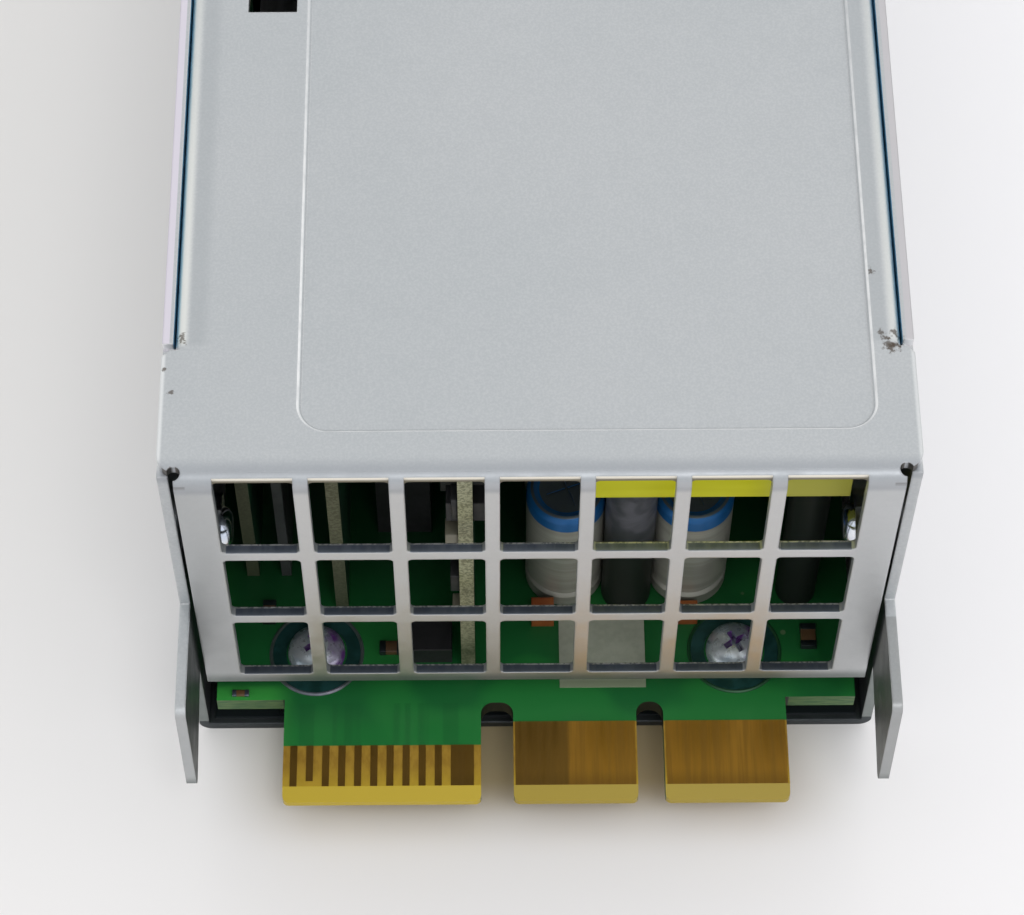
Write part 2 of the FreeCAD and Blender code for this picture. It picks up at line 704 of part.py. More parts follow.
def make_front_panel():
    body = new_body("front_panel")
    plate = across(body, front, "panel_outline")
    low = size.gauge + size.cover_gap
    high = cover_under - size.component_gap
    draw_loop(plate, [
        (-cover_side, low), (cover_side, low), (cover_side, high), (-cover_side, high),
    ])
    pad(body, plate, size.gauge, "plate")
    flange_y = (front - 11, front)
    for side, x, _ in mirrored(cover_side):
        span = (x, x + size.gauge) if side == "left" else (x - size.gauge, x)
        block(body, f"flange_{side}", span, flange_y, (as_size(4), flange_low - 2))
    # Ears that carry the bail.
    for side, x, _ in mirrored(ear_out):
        span = (x, x + size.bail_ear) if side == "left" else (x - size.bail_ear, x)
        ear_y = (front - size.gauge, bail_y)
        ear_z = (bail_z - 4, bail_z + 4)
        block(body, f"ear_{side}", span, ear_y, ear_z)
        start = (span[0], bail_y, bail_z)
        rod(body, f"ear_end_{side}", start, 4, size.bail_ear, "x")
        hole = size.bail_rod + size.running_gap
        rod(body, f"ear_hole_{side}", start, hole, size.bail_ear, "x", cut=True)
    back = front - size.gauge
    cutout = across(body, back, "inlet_cutout")
    draw_loop(cutout, inlet_outline(size.inlet_width, size.inlet_tall, size.inlet_corner))
    pocket(body, cutout, size.gauge, "inlet_opening")
    slot_x = (lever_out_x - 7, lever_out_x + size.lever_thickness + 0.6)
    slot_z = (size.lever_base - 0.5, size.lever_base + size.lever_tall + 0.5)
    block(body, "lever_slot", slot_x, (front - 2, front + 1), slot_z, cut=True)
    # Hexagon vents: two rows above the inlet.
    pitch = size.hex_pitch
    rise = pitch * math.sqrt(3) / 2
    top_row = top - size.gauge - 4.2
    fields = [("upper", -pitch * 5, top_row, 11), ("lower", -pitch * 4.5, top_row - rise, 10)]
    for name, left, z, columns in fields:
        outline = across(body, back, f"{name}_vent_outline")
        hexagon(outline, left, z, size.hex_flat)
        vent = pocket(body, outline, size.gauge, f"{name}_vent")
        repeat(body, vent, f"{name}_vents", "X", pitch * (columns - 1), columns)
    # A column of vents stands beyond the lever's slot.
    outline = across(body, back, "side_vent_outline")
    hexagon(outline, slot_x[1] + 2.4, slot_z[0] + 2.0, size.hex_flat)
    vent = pocket(body, outline, size.gauge, "side_vent")
    repeat(body, vent, "side_vents", "Z", pitch * 2, 3)
    lens = (cover_side - 3.2, front - 2, as_size(8))
    rod(body, "lens_hole", lens, 1.6, 4, "y", cut=True)
    for number, (y, z) in enumerate(panel_screw_places):
        for side, x, inwards in mirrored(half):
            hole = shank_radius + 0.1
            rod(body, f"hole_{side}_{number}", (x, y, z), hole, 4, inwards, cut=True)
    screws = new_body("panel_screws")
    for number, (y, z) in enumerate([*panel_screw_places, baffle_screw]):
        for side, x, inwards in mirrored(half):
            name = f"{side}_{number}"
            cone(screws, f"head_{name}", (x, y, z), (sink_radius, shank_radius), size.gauge, inwards)
            rod(screws, f"shank_{name}", (x, y, z), shank_radius, 2.8, inwards)
    light = new_body("status_lens")
    rod(light, "pipe", (cover_side - 3.2, front - 4, as_size(8)), 1.5, 4.6, "y")
    rod(light, "collar", (cover_side - 3.2, front - size.gauge - 1, as_size(8)), 2.1, 1, "y")


# ---- boards ----------------------------------------------------------------------------

tab_edges = [
    (-size.signal_tab_left, -size.signal_tab_left + size.signal_tab_width),
    (size.middle_tab_right - size.power_tab_width, size.middle_tab_right),
    (size.last_tab_right - size.power_tab_width, size.last_tab_right),
]


def make_main_board():
    body = new_body("main_board")
    shoulder = rear - size.shoulder_reach
    slot_end = rear - size.tab_slot_reach
    corners = [(-board_side, shoulder)]
    for number, (left, right) in enumerate(tab_edges):
        begin = shoulder if number == 0 else slot_end
        end = shoulder if number == 2 else slot_end
        corners += [(left, begin), (left, tip), (right, tip), (right, end)]
    corners += [(board_side, shoulder), (board_side, board_end), (-board_side, board_end)]
    outline = level(body, board_under, "board_outline")
    draw_loop(outline, corners)
    plate = pad(body, outline, size.board_thickness, "plate")
    roots = edges_at(plate, "z", lambda p: near(p.y, slot_end))
    slots = soften(body, plate, "slot_ends", 1.0, roots)
    tips = edges_at(slots, "z", lambda p: near(p.y, tip))
    soften(body, slots, "tongue_corners", 0.5, tips)
    # Both faces of the tongues are bevelled towards the tip.
    bevel_start = tip + size.tab_bevel
    beyond = 0.2
    deep = size.bevel_depth * (size.tab_bevel + beyond) / size.tab_bevel
    bevel = sideways(body, 0, "bevels")
    for face, way in ((size.board_top, -1), (board_under, 1)):
        draw_loop(bevel, [
            (bevel_start, face), (tip - beyond, face + deep * way),
            (tip - beyond, face - beyond * way), (bevel_start, face - beyond * way),
        ])
    pocket(body, bevel, size.case_width, "tip_bevels", centred=True)
    for number, (x, y) in enumerate(post_places):
        at = (x, y, board_under - 1)
        rod(body, f"hole_{number}", at, size.screw_radius + 0.15, 4, "z", cut=True)


def contact_layers():
    """Undersides and tops of the two contact layers, below and above the board."""
    thick = size.contact_thickness
    return [
        ("lower", (board_under - thick, board_under)),
        ("upper", (size.board_top, size.board_top + thick)),
    ]


def make_contacts():
    fingers = new_body("signal_fingers")
    finger = size.finger_pitch - size.finger_gap
    middle = (tab_edges[0][0] + tab_edges[0][1]) / 2
    left = middle - size.finger_pitch * 5.5 - finger / 2
    reach = (tip + size.tab_bevel, rear - size.signal_contact_start)
    for name, layer in contact_layers():
        first = block(fingers, f"finger_{name}", (left, left + finger), reach, layer)
        repeat(fingers, first, f"fingers_{name}", "X", size.finger_pitch * 9, 10)
        # The last contact is as wide as two, and the second one mates late.
        last = left + size.finger_pitch * 10
        block(fingers, f"wide_{name}", (last, last + finger + size.finger_pitch), reach, layer)
        second = (left + size.finger_pitch - 0.1, left + size.finger_pitch + finger + 0.1)
        late = (tip, reach[0] + size.late_contact)
        block(fingers, f"late_{name}", second, late, (layer[0] - 0.1, layer[1] + 0.1), cut=True)
    pads = new_body("power_pads")
    reach = (tip + size.tab_bevel, rear - size.power_contact_start)
    for name, layer in contact_layers():
        span = (tab_edges[1][0] + 0.15, tab_edges[1][1] - 0.15)
        first = block(pads, f"pad_{name}", span, reach, layer)
        shift = size.last_tab_right - size.middle_tab_right
        repeat(pads, first, f"pads_{name}", "X", shift, 2)


def make_board_fixings():
    posts = new_body("board_standoffs")
    screws = new_body("board_screws")
    for number, (x, y) in enumerate(post_places):
        foot = (x, y, size.gauge)
        hexagonal(posts, f"post_{number}", foot, size.post_radius, board_under - size.gauge, "z")
        thread = size.screw_radius + 0.02
        rod(posts, f"thread_{number}", (x, y, size.gauge + 0.5), thread, 4, "z", cut=True)
    for number, (x, y) in enumerate(post_places):
        rod(screws, f"shank_{number}", (x, y, size.gauge + 1), size.screw_radius, size.board_top, "z")
        radii = (size.screw_head, size.screw_head * 0.7)
        cone(screws, f"head_{number}", (x, y, size.board_top), radii, 1.7, "z")
        for name, span_x, span_y in (("long", 1.2, 0.3), ("cross", 0.3, 1.2)):
            recess_x = (x - span_x, x + span_x)
            recess_y = (y - span_y, y + span_y)
            depth = (size.board_top + 0.8, size.board_top + 2.4)
            block(screws, f"{name}_{number}", recess_x, recess_y, depth, cut=True)
    sheet_body = new_body("insulator_sheet")
    outline = level(sheet_body, size.gauge, "film_outline")
    edge = wall_in - size.board_side_gap / 2
    draw_loop(outline, [
        (-edge, rear + 0.5), (edge, rear + 0.5), (edge, board_end + 1.5), (-edge, board_end + 1.5),
    ])
    for x, y in post_places:
        draw_polygon(outline, x, y, size.post_radius + 0.4, 4)
    pad(sheet_body, outline, size.film, "film")
    label = new_body("board_label")
    high = size.board_top
    block(label, "patch", (as_size(1.9), as_size(8.8)), (rear + 0.67, rear + 7.4), (high, high + 0.1))


def make_card(name, x, y, thickness, notch):
    """Upright card with a foot in the main board's plane and a stepped rear edge."""
    body = new_body(name)
    profile = sideways(body, x, "card_outline")
    base = size.board_top
    high = cover_under - size.card_gap
    end = y + size.card_length * stretch
    draw_loop(profile, [
        (y, base), (end, base), (end, high - notch), (end - notch, high - notch),
        (end - notch, high), (y, high),
    ])
    pad(body, profile, thickness, "card")
    return body


def make_cards():
    thin = size.card_thickness
    control_y = rear + size.control_card_y
    driver_y = rear + size.driver_card_y
    inner_y = rear + size.rear_cards_y
    make_card("control_card", -size.control_card_x, control_y, thin, 4)
    make_card("driver_card", -size.driver_card_x, driver_y, thin - 0.1, 3)
    make_card("rectifier_card", size.rectifier_card_gap - board_side, inner_y, thin - 0.1, 2)
    make_card("heat_spreader", size.spreader_gap - board_side, inner_y, size.gauge, 6)
    chips = new_body("card_components")
    faces = [
        ("left", -size.control_card_x, -1, control_y, 6),
        ("right", thin - size.control_card_x, 1, control_y, 6),
        ("driver", thin - 0.1 - size.driver_card_x, 1, driver_y, 4),
    ]
    for name, face, way, start, count in faces:
        for number in range(count):
            deep = 0.9 + 0.5 * (number % 3)
            wide = 1.6 + 1.1 * (number % 2)
            low = size.board_top + 22.5 - 3.6 * (number % 4)
            along = (start + 1.2 + 4.6 * number, start + 1.2 + 4.6 * number + wide)
            span = (face, face + deep) if way > 0 else (face - deep, face)
            block(chips, f"{name}_{number}", span, along, (low, low + 2.6))
    base = size.board_top
    block(chips, "foot_choke", (as_size(-10.2), as_size(-6.7)), (rear + 3.0, rear + 5.8), (base, base + 2.2))
    room_x = (as_size(-12.8), as_size(-8.4))
    for name, begin, end, tall in (("rear", 15, 28, 15), ("front", 29.5, 43, 19)):
        room_y = (from_grille(begin), from_grille(end))
        block(chips, f"gate_transformer_{name}", room_x, room_y, (base, base + tall))
    beads = new_body("tantalum_capacitors")
    block(beads, "orange", (as_size(-0.3), as_size(1.5)), (rear + 6.2, rear + 7.9), (base, base + 1.8))
    block(beads, "red", (as_size(11.4), as_size(13.1)), (rear + 6.3, rear + 7.7), (base, base + 1.5))


# ---- output filter ---------------------------------------------------------------------

def make_output_filter():
    cans = new_body("output_capacitors")
    section = across(cans, rear + size.can_y, "can_section")
    x = size.can_x
    low = size.board_top
    high = low + size.can_height
    radius = size.can_radius
    draw_loop(section, [
        (x, low), (x + radius, low), (x + radius, high - 0.4), (x + radius - 0.4, high), (x, high),
    ])
    axis = section.addGeometry(Part.LineSegment(vector(x, low), vector(x, high)), True)
    pin_point(section, axis, 1, x, low)
    pin_point(section, axis, 2, x, high)
    can = turned(cans, section, "can", axis="Axis0")
    repeat(cans, can, "cans", "X", size.can_pitch_x, 2, ("Y", size.can_pitch_y * 2, 3))
    choke_x = (size.choke_left, board_side - size.choke_side_gap)
    choke_y = (rear + size.choke_y, rear + size.choke_y + size.choke_depth)
    choke_top = cover_under - size.choke_top_gap
    choke_z = (choke_top - size.choke_height, choke_top)
    tape = size.tape
    inner_y = (choke_y[0] + tape, choke_y[1] - tape)
    inner_z = (choke_z[0] + tape, choke_z[1] - tape)
    sleeve = new_body("output_choke_tape")
    block(sleeve, "wrap", choke_x, choke_y, choke_z)
    through = (choke_x[0] - 1, choke_x[1] + 1)
    block(sleeve, "hollow", through, inner_y, inner_z, cut=True)
    core = new_body("output_choke_core")
    gap = size.component_gap / 2
    core_y = (inner_y[0] + gap, inner_y[1] - gap)
    core_z = (inner_z[0] + gap, inner_z[1] - gap)
    block(core, "ferrite", (choke_x[0] + 0.3, choke_x[1] - 0.3), core_y, core_z)
    # Two columns carry the choke above the capacitors.
    legs = new_body("output_choke_legs")
    column_y = rear + size.choke_y + 5.5
    places = (("left", size.choke_left + 3.8, 2.0), ("right", choke_x[1] - 1.8, 1.6))
    for name, column_x, column_radius in places:
        foot = (column_x, column_y, size.board_top)
        rod(legs, f"{name}_column", foot, column_radius, choke_z[0] - size.board_top, "z")


# ---- power train -----------------------------------------------------------------------

def axis_through(body, sketch_maker, x, y, name):
    """Empty sketch whose normal runs through a point of its plane."""
    sketch = sketch_maker(body, 0, name)
    for letter, value in (("x", as_size(x)), ("y", as_size(y))):
        sketch.setExpression(f"AttachmentOffset.Base.{letter}", value.formula)
    return sketch


def around(body, originals, name, axis, count):
    """Polar pattern about the normal of a sketch."""
    item = body.newObject("PartDesign::PolarPattern", name)
    item.Originals = originals
    item.Axis = (axis, ["N_Axis"])
    item.Angle = 360
    item.Occurrences = count
    body.Tip = item
    return item


def transformer(prefix, x, y, wide, deep, tall, leg):
    """E-core pair with a wound bobbin round its centre leg, standing on the board."""
    gap = size.component_gap
    base = size.board_top + 0.6
    core = new_body(f"{prefix}_core")
    block(core, "ferrite", (x - wide / 2, x + wide / 2), (y - deep / 2, y + deep / 2), (base, base + tall))
    for side, way in (("left", -1), ("right", 1)):
        near_side = way * leg
        far_side = way * (wide / 2 - leg)
        span = sorted((near_side, far_side), key=float)
        window_x = (x + span[0], x + span[1])
        window_z = (base + leg, base + tall - leg)
        block(core, f"window_{side}", window_x, (y - deep, y + deep), window_z, cut=True)
    winding = new_body(f"{prefix}_winding")
    reach = wide / 2 - leg - gap
    coil_y = (y - deep / 2 - (reach - leg), y + deep / 2 + (reach - leg))
    coil_z = (base + leg + gap, base + tall - leg - gap)
    block(winding, "coil", (x - reach, x + reach), coil_y, coil_z)
    hollow_y = (y - deep / 2 - gap, y + deep / 2 + gap)
    hollow_z = (base, base + tall)
    block(winding, "hollow", (x - leg - gap, x + leg + gap), hollow_y, hollow_z, cut=True)
    for side, row in (("rear", coil_y[0] + 1.5), ("front", coil_y[1] - 1.5)):
        pin_z = (size.board_top, coil_z[0])
        first = block(winding, f"pin_{side}", (x - reach + 1, x - reach + 1.8), (row - 0.4, row + 0.4), pin_z)
        repeat(winding, first, f"pins_{side}", "X", reach * 2 - 2.8, 4)


def toroid(prefix, x, y, outer, inner, tall, turns):
    """Ring core lying on the board with turns of wire round it."""
    wire = size.wire_gauge
    gap = size.component_gap / 2
    low = size.board_top + wire + gap
    core = new_body(f"{prefix}_core")
    rod(core, "ring", (x, y, low), outer, tall, "z")
    rod(core, "hole", (x, y, low - 1), inner, tall + 2, "z", cut=True)
    winding = new_body(f"{prefix}_winding")
    turn_x = (x + inner - wire - gap, x + outer + wire + gap)
    turn_z = (low - wire - gap, low + tall + wire + gap)
    turn = block(winding, "turn", turn_x, (y - wire / 2, y + wire / 2), turn_z)
    room_x = (x + inner - gap, x + outer + gap)
    room = block(winding, "room", room_x, (y - wire, y + wire), (low - gap, low + tall + gap), cut=True)
    axis = axis_through(winding, level, x, y, "winding_axis")
    around(winding, [turn, room], "turns", axis, turns)


def make_heat_sink():
    base = size.board_top
    seat_x = as_size(-9)
    plate_x = (seat_x - size.sink_plate, seat_x)
    span_y = (from_grille(54), from_grille(104))
    sink = new_body("primary_heat_sink")
    block(sink, "plate", plate_x, span_y, (base, top - 5.4))
    fin_x = (3 - board_side, plate_x[0])
    fin = block(sink, "fin", fin_x, span_y, (base + 2.6, base + 2.6 + size.sink_fin))
    repeat(sink, fin, "fins", "Z", top - base - 9.4, 6)
    transistors = new_body("power_transistors")
    screws = new_body("transistor_screws")
    face_x = seat_x + 4.6
    hole_z = base + 20
    for number in range(3):
        middle = from_grille(62.5 + 16.5 * number)
        case_y = (middle - 6.8, middle + 6.8)
        block(transistors, f"case_{number}", (seat_x, face_x), case_y, (base + 4.5, base + 24.5))
        rod(transistors, f"hole_{number}", (seat_x - 1, middle, hole_z), 1.7, 8, "x", cut=True)
        lead_x = (face_x - 2.6, face_x - 2.0)
        lead_y = (middle - 5.8, middle - 4.8)
        lead = block(transistors, f"lead_{number}", lead_x, lead_y, (base, base + 4.5))
        repeat(transistors, lead, f"leads_{number}", "Y", 10.6, 3)
        rod(screws, f"shank_{number}", (seat_x, middle, hole_z), 1.5, 4.6, "x")
        rod(screws, f"head_{number}", (face_x, middle, hole_z), 2.7, 1.6, "x")


def make_bulk_capacitor():
    body = new_body("bulk_capacitor")
    outer = board_side - 0.7
    radius = (outer + 0.4) / 2
    x = outer - radius
    z = size.board_top + radius
    begin = from_grille(107)
    end = from_grille(145)
    section = sideways(body, x, "can_section")
    draw_loop(section, [
        (begin, z), (begin, z + radius - 1), (begin + 1, z + radius),
        (end - 0.6, z + radius), (end, z + radius - 0.6), (end, z),
    ])
    axis = section.addGeometry(Part.LineSegment(vector(begin, z), vector(end, z)), True)
    pin_point(section, axis, 1, begin, z)
    pin_point(section, axis, 2, end, z)
    turned(body, section, "can", axis="Axis0")


def make_line_filter():
    base = size.board_top
    edge = -board_side
    bridge = new_body("bridge_rectifier")
    case_y = (from_grille(108), from_grille(133))
    block(bridge, "case", (as_size(-5), as_size(-1.5)), case_y, (base + 4, base + 21))
    lead_y = (case_y[0] + 2, case_y[0] + 3)
    lead = block(bridge, "lead", (as_size(-3.6), as_size(-2.9)), lead_y, (base, base + 4))
    repeat(bridge, lead, "leads", "Y", case_y[1] - case_y[0] - 5, 4)
    relay = new_body("relay")
    block(relay, "case", (edge + 1.5, as_size(-13)), (from_grille(127), from_grille(137)), (base, base + 15))
    films = new_body("x_capacitors")
    tall_y = (from_grille(126), from_grille(137.5))
    block(films, "tall", (as_size(-12.6), as_size(-5.4)), tall_y, (base, base + 14))
    wide_y = (from_grille(147), from_grille(153))
    block(films, "wide", (as_size(1), board_side - 8.5), wide_y, (base, base + 12))
    discs = new_body("y_capacitors")
    for number in range(2):
        rod(discs, f"disc_{number}", (as_size(-3.4), from_grille(144 + 7 * number), base + 3), 3, 2.4, "x")
    resistor = new_body("thermistor")
    rod(resistor, "disc", (as_size(-4.9), from_grille(137.4), base + 2.9), 2.9, 3.2, "x")
    fuse = new_body("line_fuse")
    fuse_y = from_grille(107.5)
    ends = (edge + 1.5, as_size(-6))
    rod(fuse, "tube", (ends[0] + 2, fuse_y, base + 2.8), 2.6, ends[1] - ends[0] - 4, "x")
    for name, x in (("left", ends[0]), ("right", ends[1] - 4)):
        rod(fuse, f"{name}_cap", (x, fuse_y, base + 2.8), 2.8, 4, "x")


def make_power_train():
    # Widths fill what the walls and the middle of the board leave.
    right = board_side - 1
    wide = right + 1.5
    tall = cover_under - size.board_top - 4.6
    main = (right - wide / 2, from_grille(66), wide, stretch * 15, tall, as_size(4.4))
    transformer("main_transformer", *main)
    left = 2.5 - board_side
    narrow = as_size(-7) - left
    standby = (left + narrow / 2, from_grille(118), narrow, stretch * 7, as_size(16), as_size(2.6))
    transformer("standby_transformer", *standby)
    ring = (board_side - 2) / 2 - size.wire_gauge - 0.05
    toroid("pfc_choke", board_side - 14, from_grille(93), ring, as_size(5), as_size(11), 18)
    small = stretch * 6.4
    toroid("line_choke", as_size(-12.5), from_grille(146.4), small, as_size(3.2), as_size(9), 9)
    make_heat_sink()
    make_bulk_capacitor()
    make_line_filter()


# ---- fan -------------------------------------------------------------------------------

def make_fan():
    square = fan_size / 2
    low = fan_z - square
    high = fan_z + square
    centre = (as_size(0), fan_rear, fan_z)
    frame = new_body("fan_frame")
    housing = block(frame, "housing", (-square, square), (fan_rear, fan_front), (low, high))
    corners = edges_at(housing, "y", lambda p: near(abs(p.x), square))
    soften(frame, housing, "housing_corners", 2, corners, kind="Chamfer")
    rod(frame, "bore", centre, fan_bore, size.fan_depth, "y", cut=True)
    seat = (as_size(0), fan_front - 3, fan_z)
    rod(frame, "motor_seat", seat, size.hub_radius, 3, "y")
    arm = (as_size(-1.2), as_size(1.2))
    reach = fan_bore + 0.5
    block(frame, "upright_arm", arm, (seat[1], fan_front), (fan_z - reach, fan_z + reach))
    block(frame, "level_arm", (-reach, reach), (seat[1], fan_front), (fan_z + arm[0], fan_z + arm[1]))
    hole_span = square - 3
    for number, (way_x, way_z) in enumerate(((-1, -1), (1, -1), (1, 1), (-1, 1))):
        at = (hole_span * way_x, fan_rear, fan_z + hole_span * way_z)
        rod(frame, f"hole_{number}", at, 1.7, size.fan_depth, "y", cut=True)
    motor = new_body("fan_motor")
    rod(motor, "stator", (as_size(0), fan_front - 17, fan_z), size.hub_radius - 2.2, 14, "y")
    for name, span_x, span_z in (("upright", 0.9, 12), ("level", 12, 0.9)):
        slot_x = (as_size(-span_x), as_size(span_x))
        slot_z = (fan_z - span_z, fan_z + span_z)
        block(motor, f"{name}_slot", slot_x, (fan_front - 18, fan_front - 5), slot_z, cut=True)
    rod(motor, "bush", (as_size(0), fan_front - 18, fan_z), 3.4, 15, "y")
    bore = size.fan_shaft + size.running_gap
    rod(motor, "bush_bore", (as_size(0), fan_front - 19, fan_z), bore, 17, "y", cut=True)
    make_rotor()
    screws = new_body("fan_screws")
    for number, (way_x, way_z) in enumerate(((-1, -1), (1, -1), (1, 1), (-1, 1))):
        at = (hole_span * way_x, fan_rear - size.gauge, fan_z + hole_span * way_z)
        rod(screws, f"shank_{number}", at, 1.6, size.gauge + 4, "y")
        rod(screws, f"head_{number}", at, 2.5, 1.4, "-y")


def make_rotor():
    body = new_body("fan_rotor")
    start = fan_rear + 2
    length = fan_front - 4 - start
    rod(body, "hub", (as_size(0), start, fan_z), size.hub_radius, length, "y")
    inside = size.hub_radius - size.hub_wall
    rod(body, "cup", (as_size(0), start + 1.6, fan_z), inside, length, "y", cut=True)
    rod(body, "shaft", (as_size(0), start + 1.2, fan_z), size.fan_shaft, length - 3, "y")
    # One blade, lofted from the hub to the tip, less steep as it goes out.
    root = level(body, fan_z + size.hub_radius - 0.5, "blade_root")
    end = level(body, fan_z + fan_bore, "blade_end")
    for section, swing, thick in ((root, 3.6, 1.5), (end, 6.6, 0.9)):
        draw_loop(section, [
            (as_size(-swing), start + 1.5), (as_size(thick - swing), start + 1.5),
            (as_size(swing), start + length - 1.5), (as_size(swing - thick), start + length - 1.5),
        ])
    blade = body.newObject("PartDesign::AdditiveLoft", "blade")
    blade.Profile = root
    blade.Sections = [end]
    blade.Ruled = True
    axis = axis_through(body, across, 0, fan_z, "rotor_axis")
    around(body, [blade], "blades", axis, 7)
    trim = across(body, start - 1, "tip_trim_outline")
    draw_circle(trim, 0, fan_z, fan_bore - size.blade_gap)
    draw_circle(trim, 0, fan_z, fan_bore + 4)
    pocket(body, trim, length + 2, "tip_trim")


def make_baffle():
    body = new_body("fan_baffle")
    side = wall_in - size.component_gap
    plate_y = (fan_rear - size.gauge, fan_rear)
    low = size.gauge + size.component_gap
    block(body, "plate", (-side, side), plate_y, (low, flange_low - 2))
    upper = (-(cover_side - size.gauge - 1), cover_side - size.gauge - 1)
    block(body, "upper", upper, plate_y, (flange_low - 3, cover_under - size.component_gap))
    rod(body, "duct_hole", (as_size(0), fan_rear - 2, fan_z), fan_bore, 4, "y", cut=True)
    for side_name, x, _ in mirrored(side):
        span = (x, x + size.gauge) if side_name == "left" else (x - size.gauge, x)
        flange_y = (baffle_screw[0] - 5, plate_y[1])
        block(body, f"flange_{side_name}", span, flange_y, (as_size(12), as_size(24)))
    hole_span = fan_size / 2 - 3
    for number, (way_x, way_z) in enumerate(((-1, -1), (1, -1), (1, 1), (-1, 1))):
        at = (hole_span * way_x, fan_rear - 2, fan_z + hole_span * way_z)
        rod(body, f"hole_{number}", at, 1.65, 4, "y", cut=True)
    for side_name, x, inwards in mirrored(half):
        hole = shank_radius + 0.1
        rod(body, f"screw_hole_{side_name}", (x, *baffle_screw), hole, 4, inwards, cut=True)
    notch_x = (-side + 1.8, -(fan_size / 2) - 1)
    notch_y = (fan_rear - 2, fan_rear + 1)
    block(body, "wire_notch", notch_x, notch_y, (as_size(5.2), as_size(21)), cut=True)


# ---- inlet -----------------------------------------------------------------------------

def make_inlet():
    body = new_body("inlet_body")
    rim = size.inlet_rim
    outer = across(body, front + size.inlet_flange, "flange_outline")
    wide = size.inlet_width + rim * 2
    tall = size.inlet_tall + rim * 1.4
    draw_loop(outer, inlet_outline(wide, tall, size.inlet_corner))
    pad(body, outer, size.inlet_flange, "flange")
    shell = across(body, front, "shell_outline")
    slack = size.component_gap * 2
    shell_size = (size.inlet_width - slack, size.inlet_tall - slack, size.inlet_corner)
    draw_loop(shell, inlet_outline(*shell_size))
    pad(body, shell, size.inlet_depth, "shell")
    wall = size.inlet_wall * 2
    hollow = across(body, front - size.inlet_depth + size.inlet_wall + 0.7, "socket_outline")
    corner = size.inlet_corner - size.inlet_wall * 0.6
    draw_loop(hollow, inlet_outline(shell_size[0] - wall, shell_size[1] - wall, corner))
    pocket(body, hollow, size.inlet_depth + size.inlet_flange, "socket")
    pins = new_body("inlet_pins")
    for name, x, z in pin_places():
        half_x = size.pin_thick / 2
        half_z = size.pin_tall / 2
        pin_y = (front - size.inlet_depth, front + size.inlet_flange - size.pin_recess)
        slot_y = (front - size.inlet_depth - 1, front - size.inlet_depth + 3)
        span_x = (x - half_x, x + half_x)
        span_z = (z - half_z, z + half_z)
        block(body, f"{name}_slot", span_x, slot_y, span_z, cut=True)
        pin = block(pins, f"{name}_pin", span_x, pin_y, span_z)
        nose = edges_at(pin, "z", lambda p: near(p.y, pin_y[1]) and near(abs(p.x - float(x)), half_x))
        soften(pins, pin, f"{name}_nose", 0.6, nose, kind="Chamfer")
        tail_x = (x - 0.4, x + 0.4)
        block(pins, f"{name}_tail", tail_x, (pin_y[0] - 8, pin_y[0]), (z - 2.4, z + 2.4))


def pin_places():
    """Line, neutral and earth: name, x and z of each pin's centre."""
    centre = -size.inlet_left
    low = size.inlet_height - 2
    return [
        ("line", centre - size.pin_spacing, low),
        ("neutral", centre + size.pin_spacing, low),
        ("earth", centre, size.inlet_height + 2),
    ]


def eight_sided(centre, normal, radius):
    """Closed outline with eight sides round a point, at right angles to a direction."""
    turn = FreeCAD.Rotation(AXES["z"], normal)
    corner = radius / math.cos(math.pi / 8)
    points = []
    for number in range(9):
        angle = math.pi * (2 * number + 1) / 8
        flat = FreeCAD.Vector(math.cos(angle), math.sin(angle), 0) * corner
        points.append(centre + turn.multVec(flat))
    return Part.makePolygon(points)


def pipe(name, routes, radius, bend):
    """Wires along straight runs joined by tangent arcs, one solid for each route."""
    solids = []
    radii = []
    for route in routes:
        points = [FreeCAD.Vector(*(float(value) for value in point)) for point in route]
        edges = []
        begin = points[0]
        for before, corner, after in zip(points, points[1:], points[2:]):
            back = (before - corner).normalize()
            ahead = (after - corner).normalize()
            half_turn = (math.pi - back.getAngle(ahead)) / 2
            shorter = min((before - corner).Length, (after - corner).Length)
            reach = min(bend * math.tan(half_turn), 0.45 * shorter)
            arc_radius = reach / math.tan(half_turn)
            radii.append(arc_radius)
            middle = (back + ahead).normalize()
            depth = arc_radius / math.cos(half_turn) - arc_radius
            start = corner + back * reach
            edges.append(Part.LineSegment(begin, start).toShape())
            end = corner + ahead * reach
            edges.append(Part.Arc(start, corner + middle * depth, end).toShape())
            begin = end
        edges.append(Part.LineSegment(begin, points[-1]).toShape())
        path = Part.Wire(edges)
        normal = (points[1] - points[0]).normalize()
        ring = Part.Wire([eight_sided(points[0], normal, float(radius))])
        solids.append(path.makePipeShell([ring], True, False))
    feature = doc.addObject("Part::Feature", name)
    feature.Label = name
    feature.Shape = Part.Compound(solids)
    feature.Placement = FreeCAD.Placement()
    PARTS.append(feature)
    listed = ", ".join(f"{value:.1f}" for value in radii)
    print(f"{name}: wire {float(radius) * 2:.1f} across, bend radii {listed} mm")


def make_wires():
    lane = -(wall_in - 3.75)
    tail = front - size.inlet_depth - 8
    routes = []
    drops = {"line": (14.5, 4, 12.35), "neutral": (10.5, 7.5, 9.15), "earth": (18.5, 5.5, 15.55)}
    for name, x, z in pin_places():
        lane_z, turn, drop = drops[name]
        landing = board_end - drop
        routes.append([
            (x, tail, z), (x, tail - turn, z), (lane, tail - turn, lane_z),
            (lane, landing, lane_z), (lane, landing, size.board_top),
        ])
    pipe("inlet_wires", routes, size.mains_wire, 5)
    side = -(fan_size / 2)
    pipe("fan_leads", [[
        (side, fan_front - 2, 7.2), (side - 2.0, fan_front - 2, 7.2), (side - 2.0, fan_rear - 2.2, 7.2),
        (side - 2.0, board_end - 1.2, size.board_top + 0.7),
    ]], 0.7, 2)


# ---- handle and latch ------------------------------------------------------------------

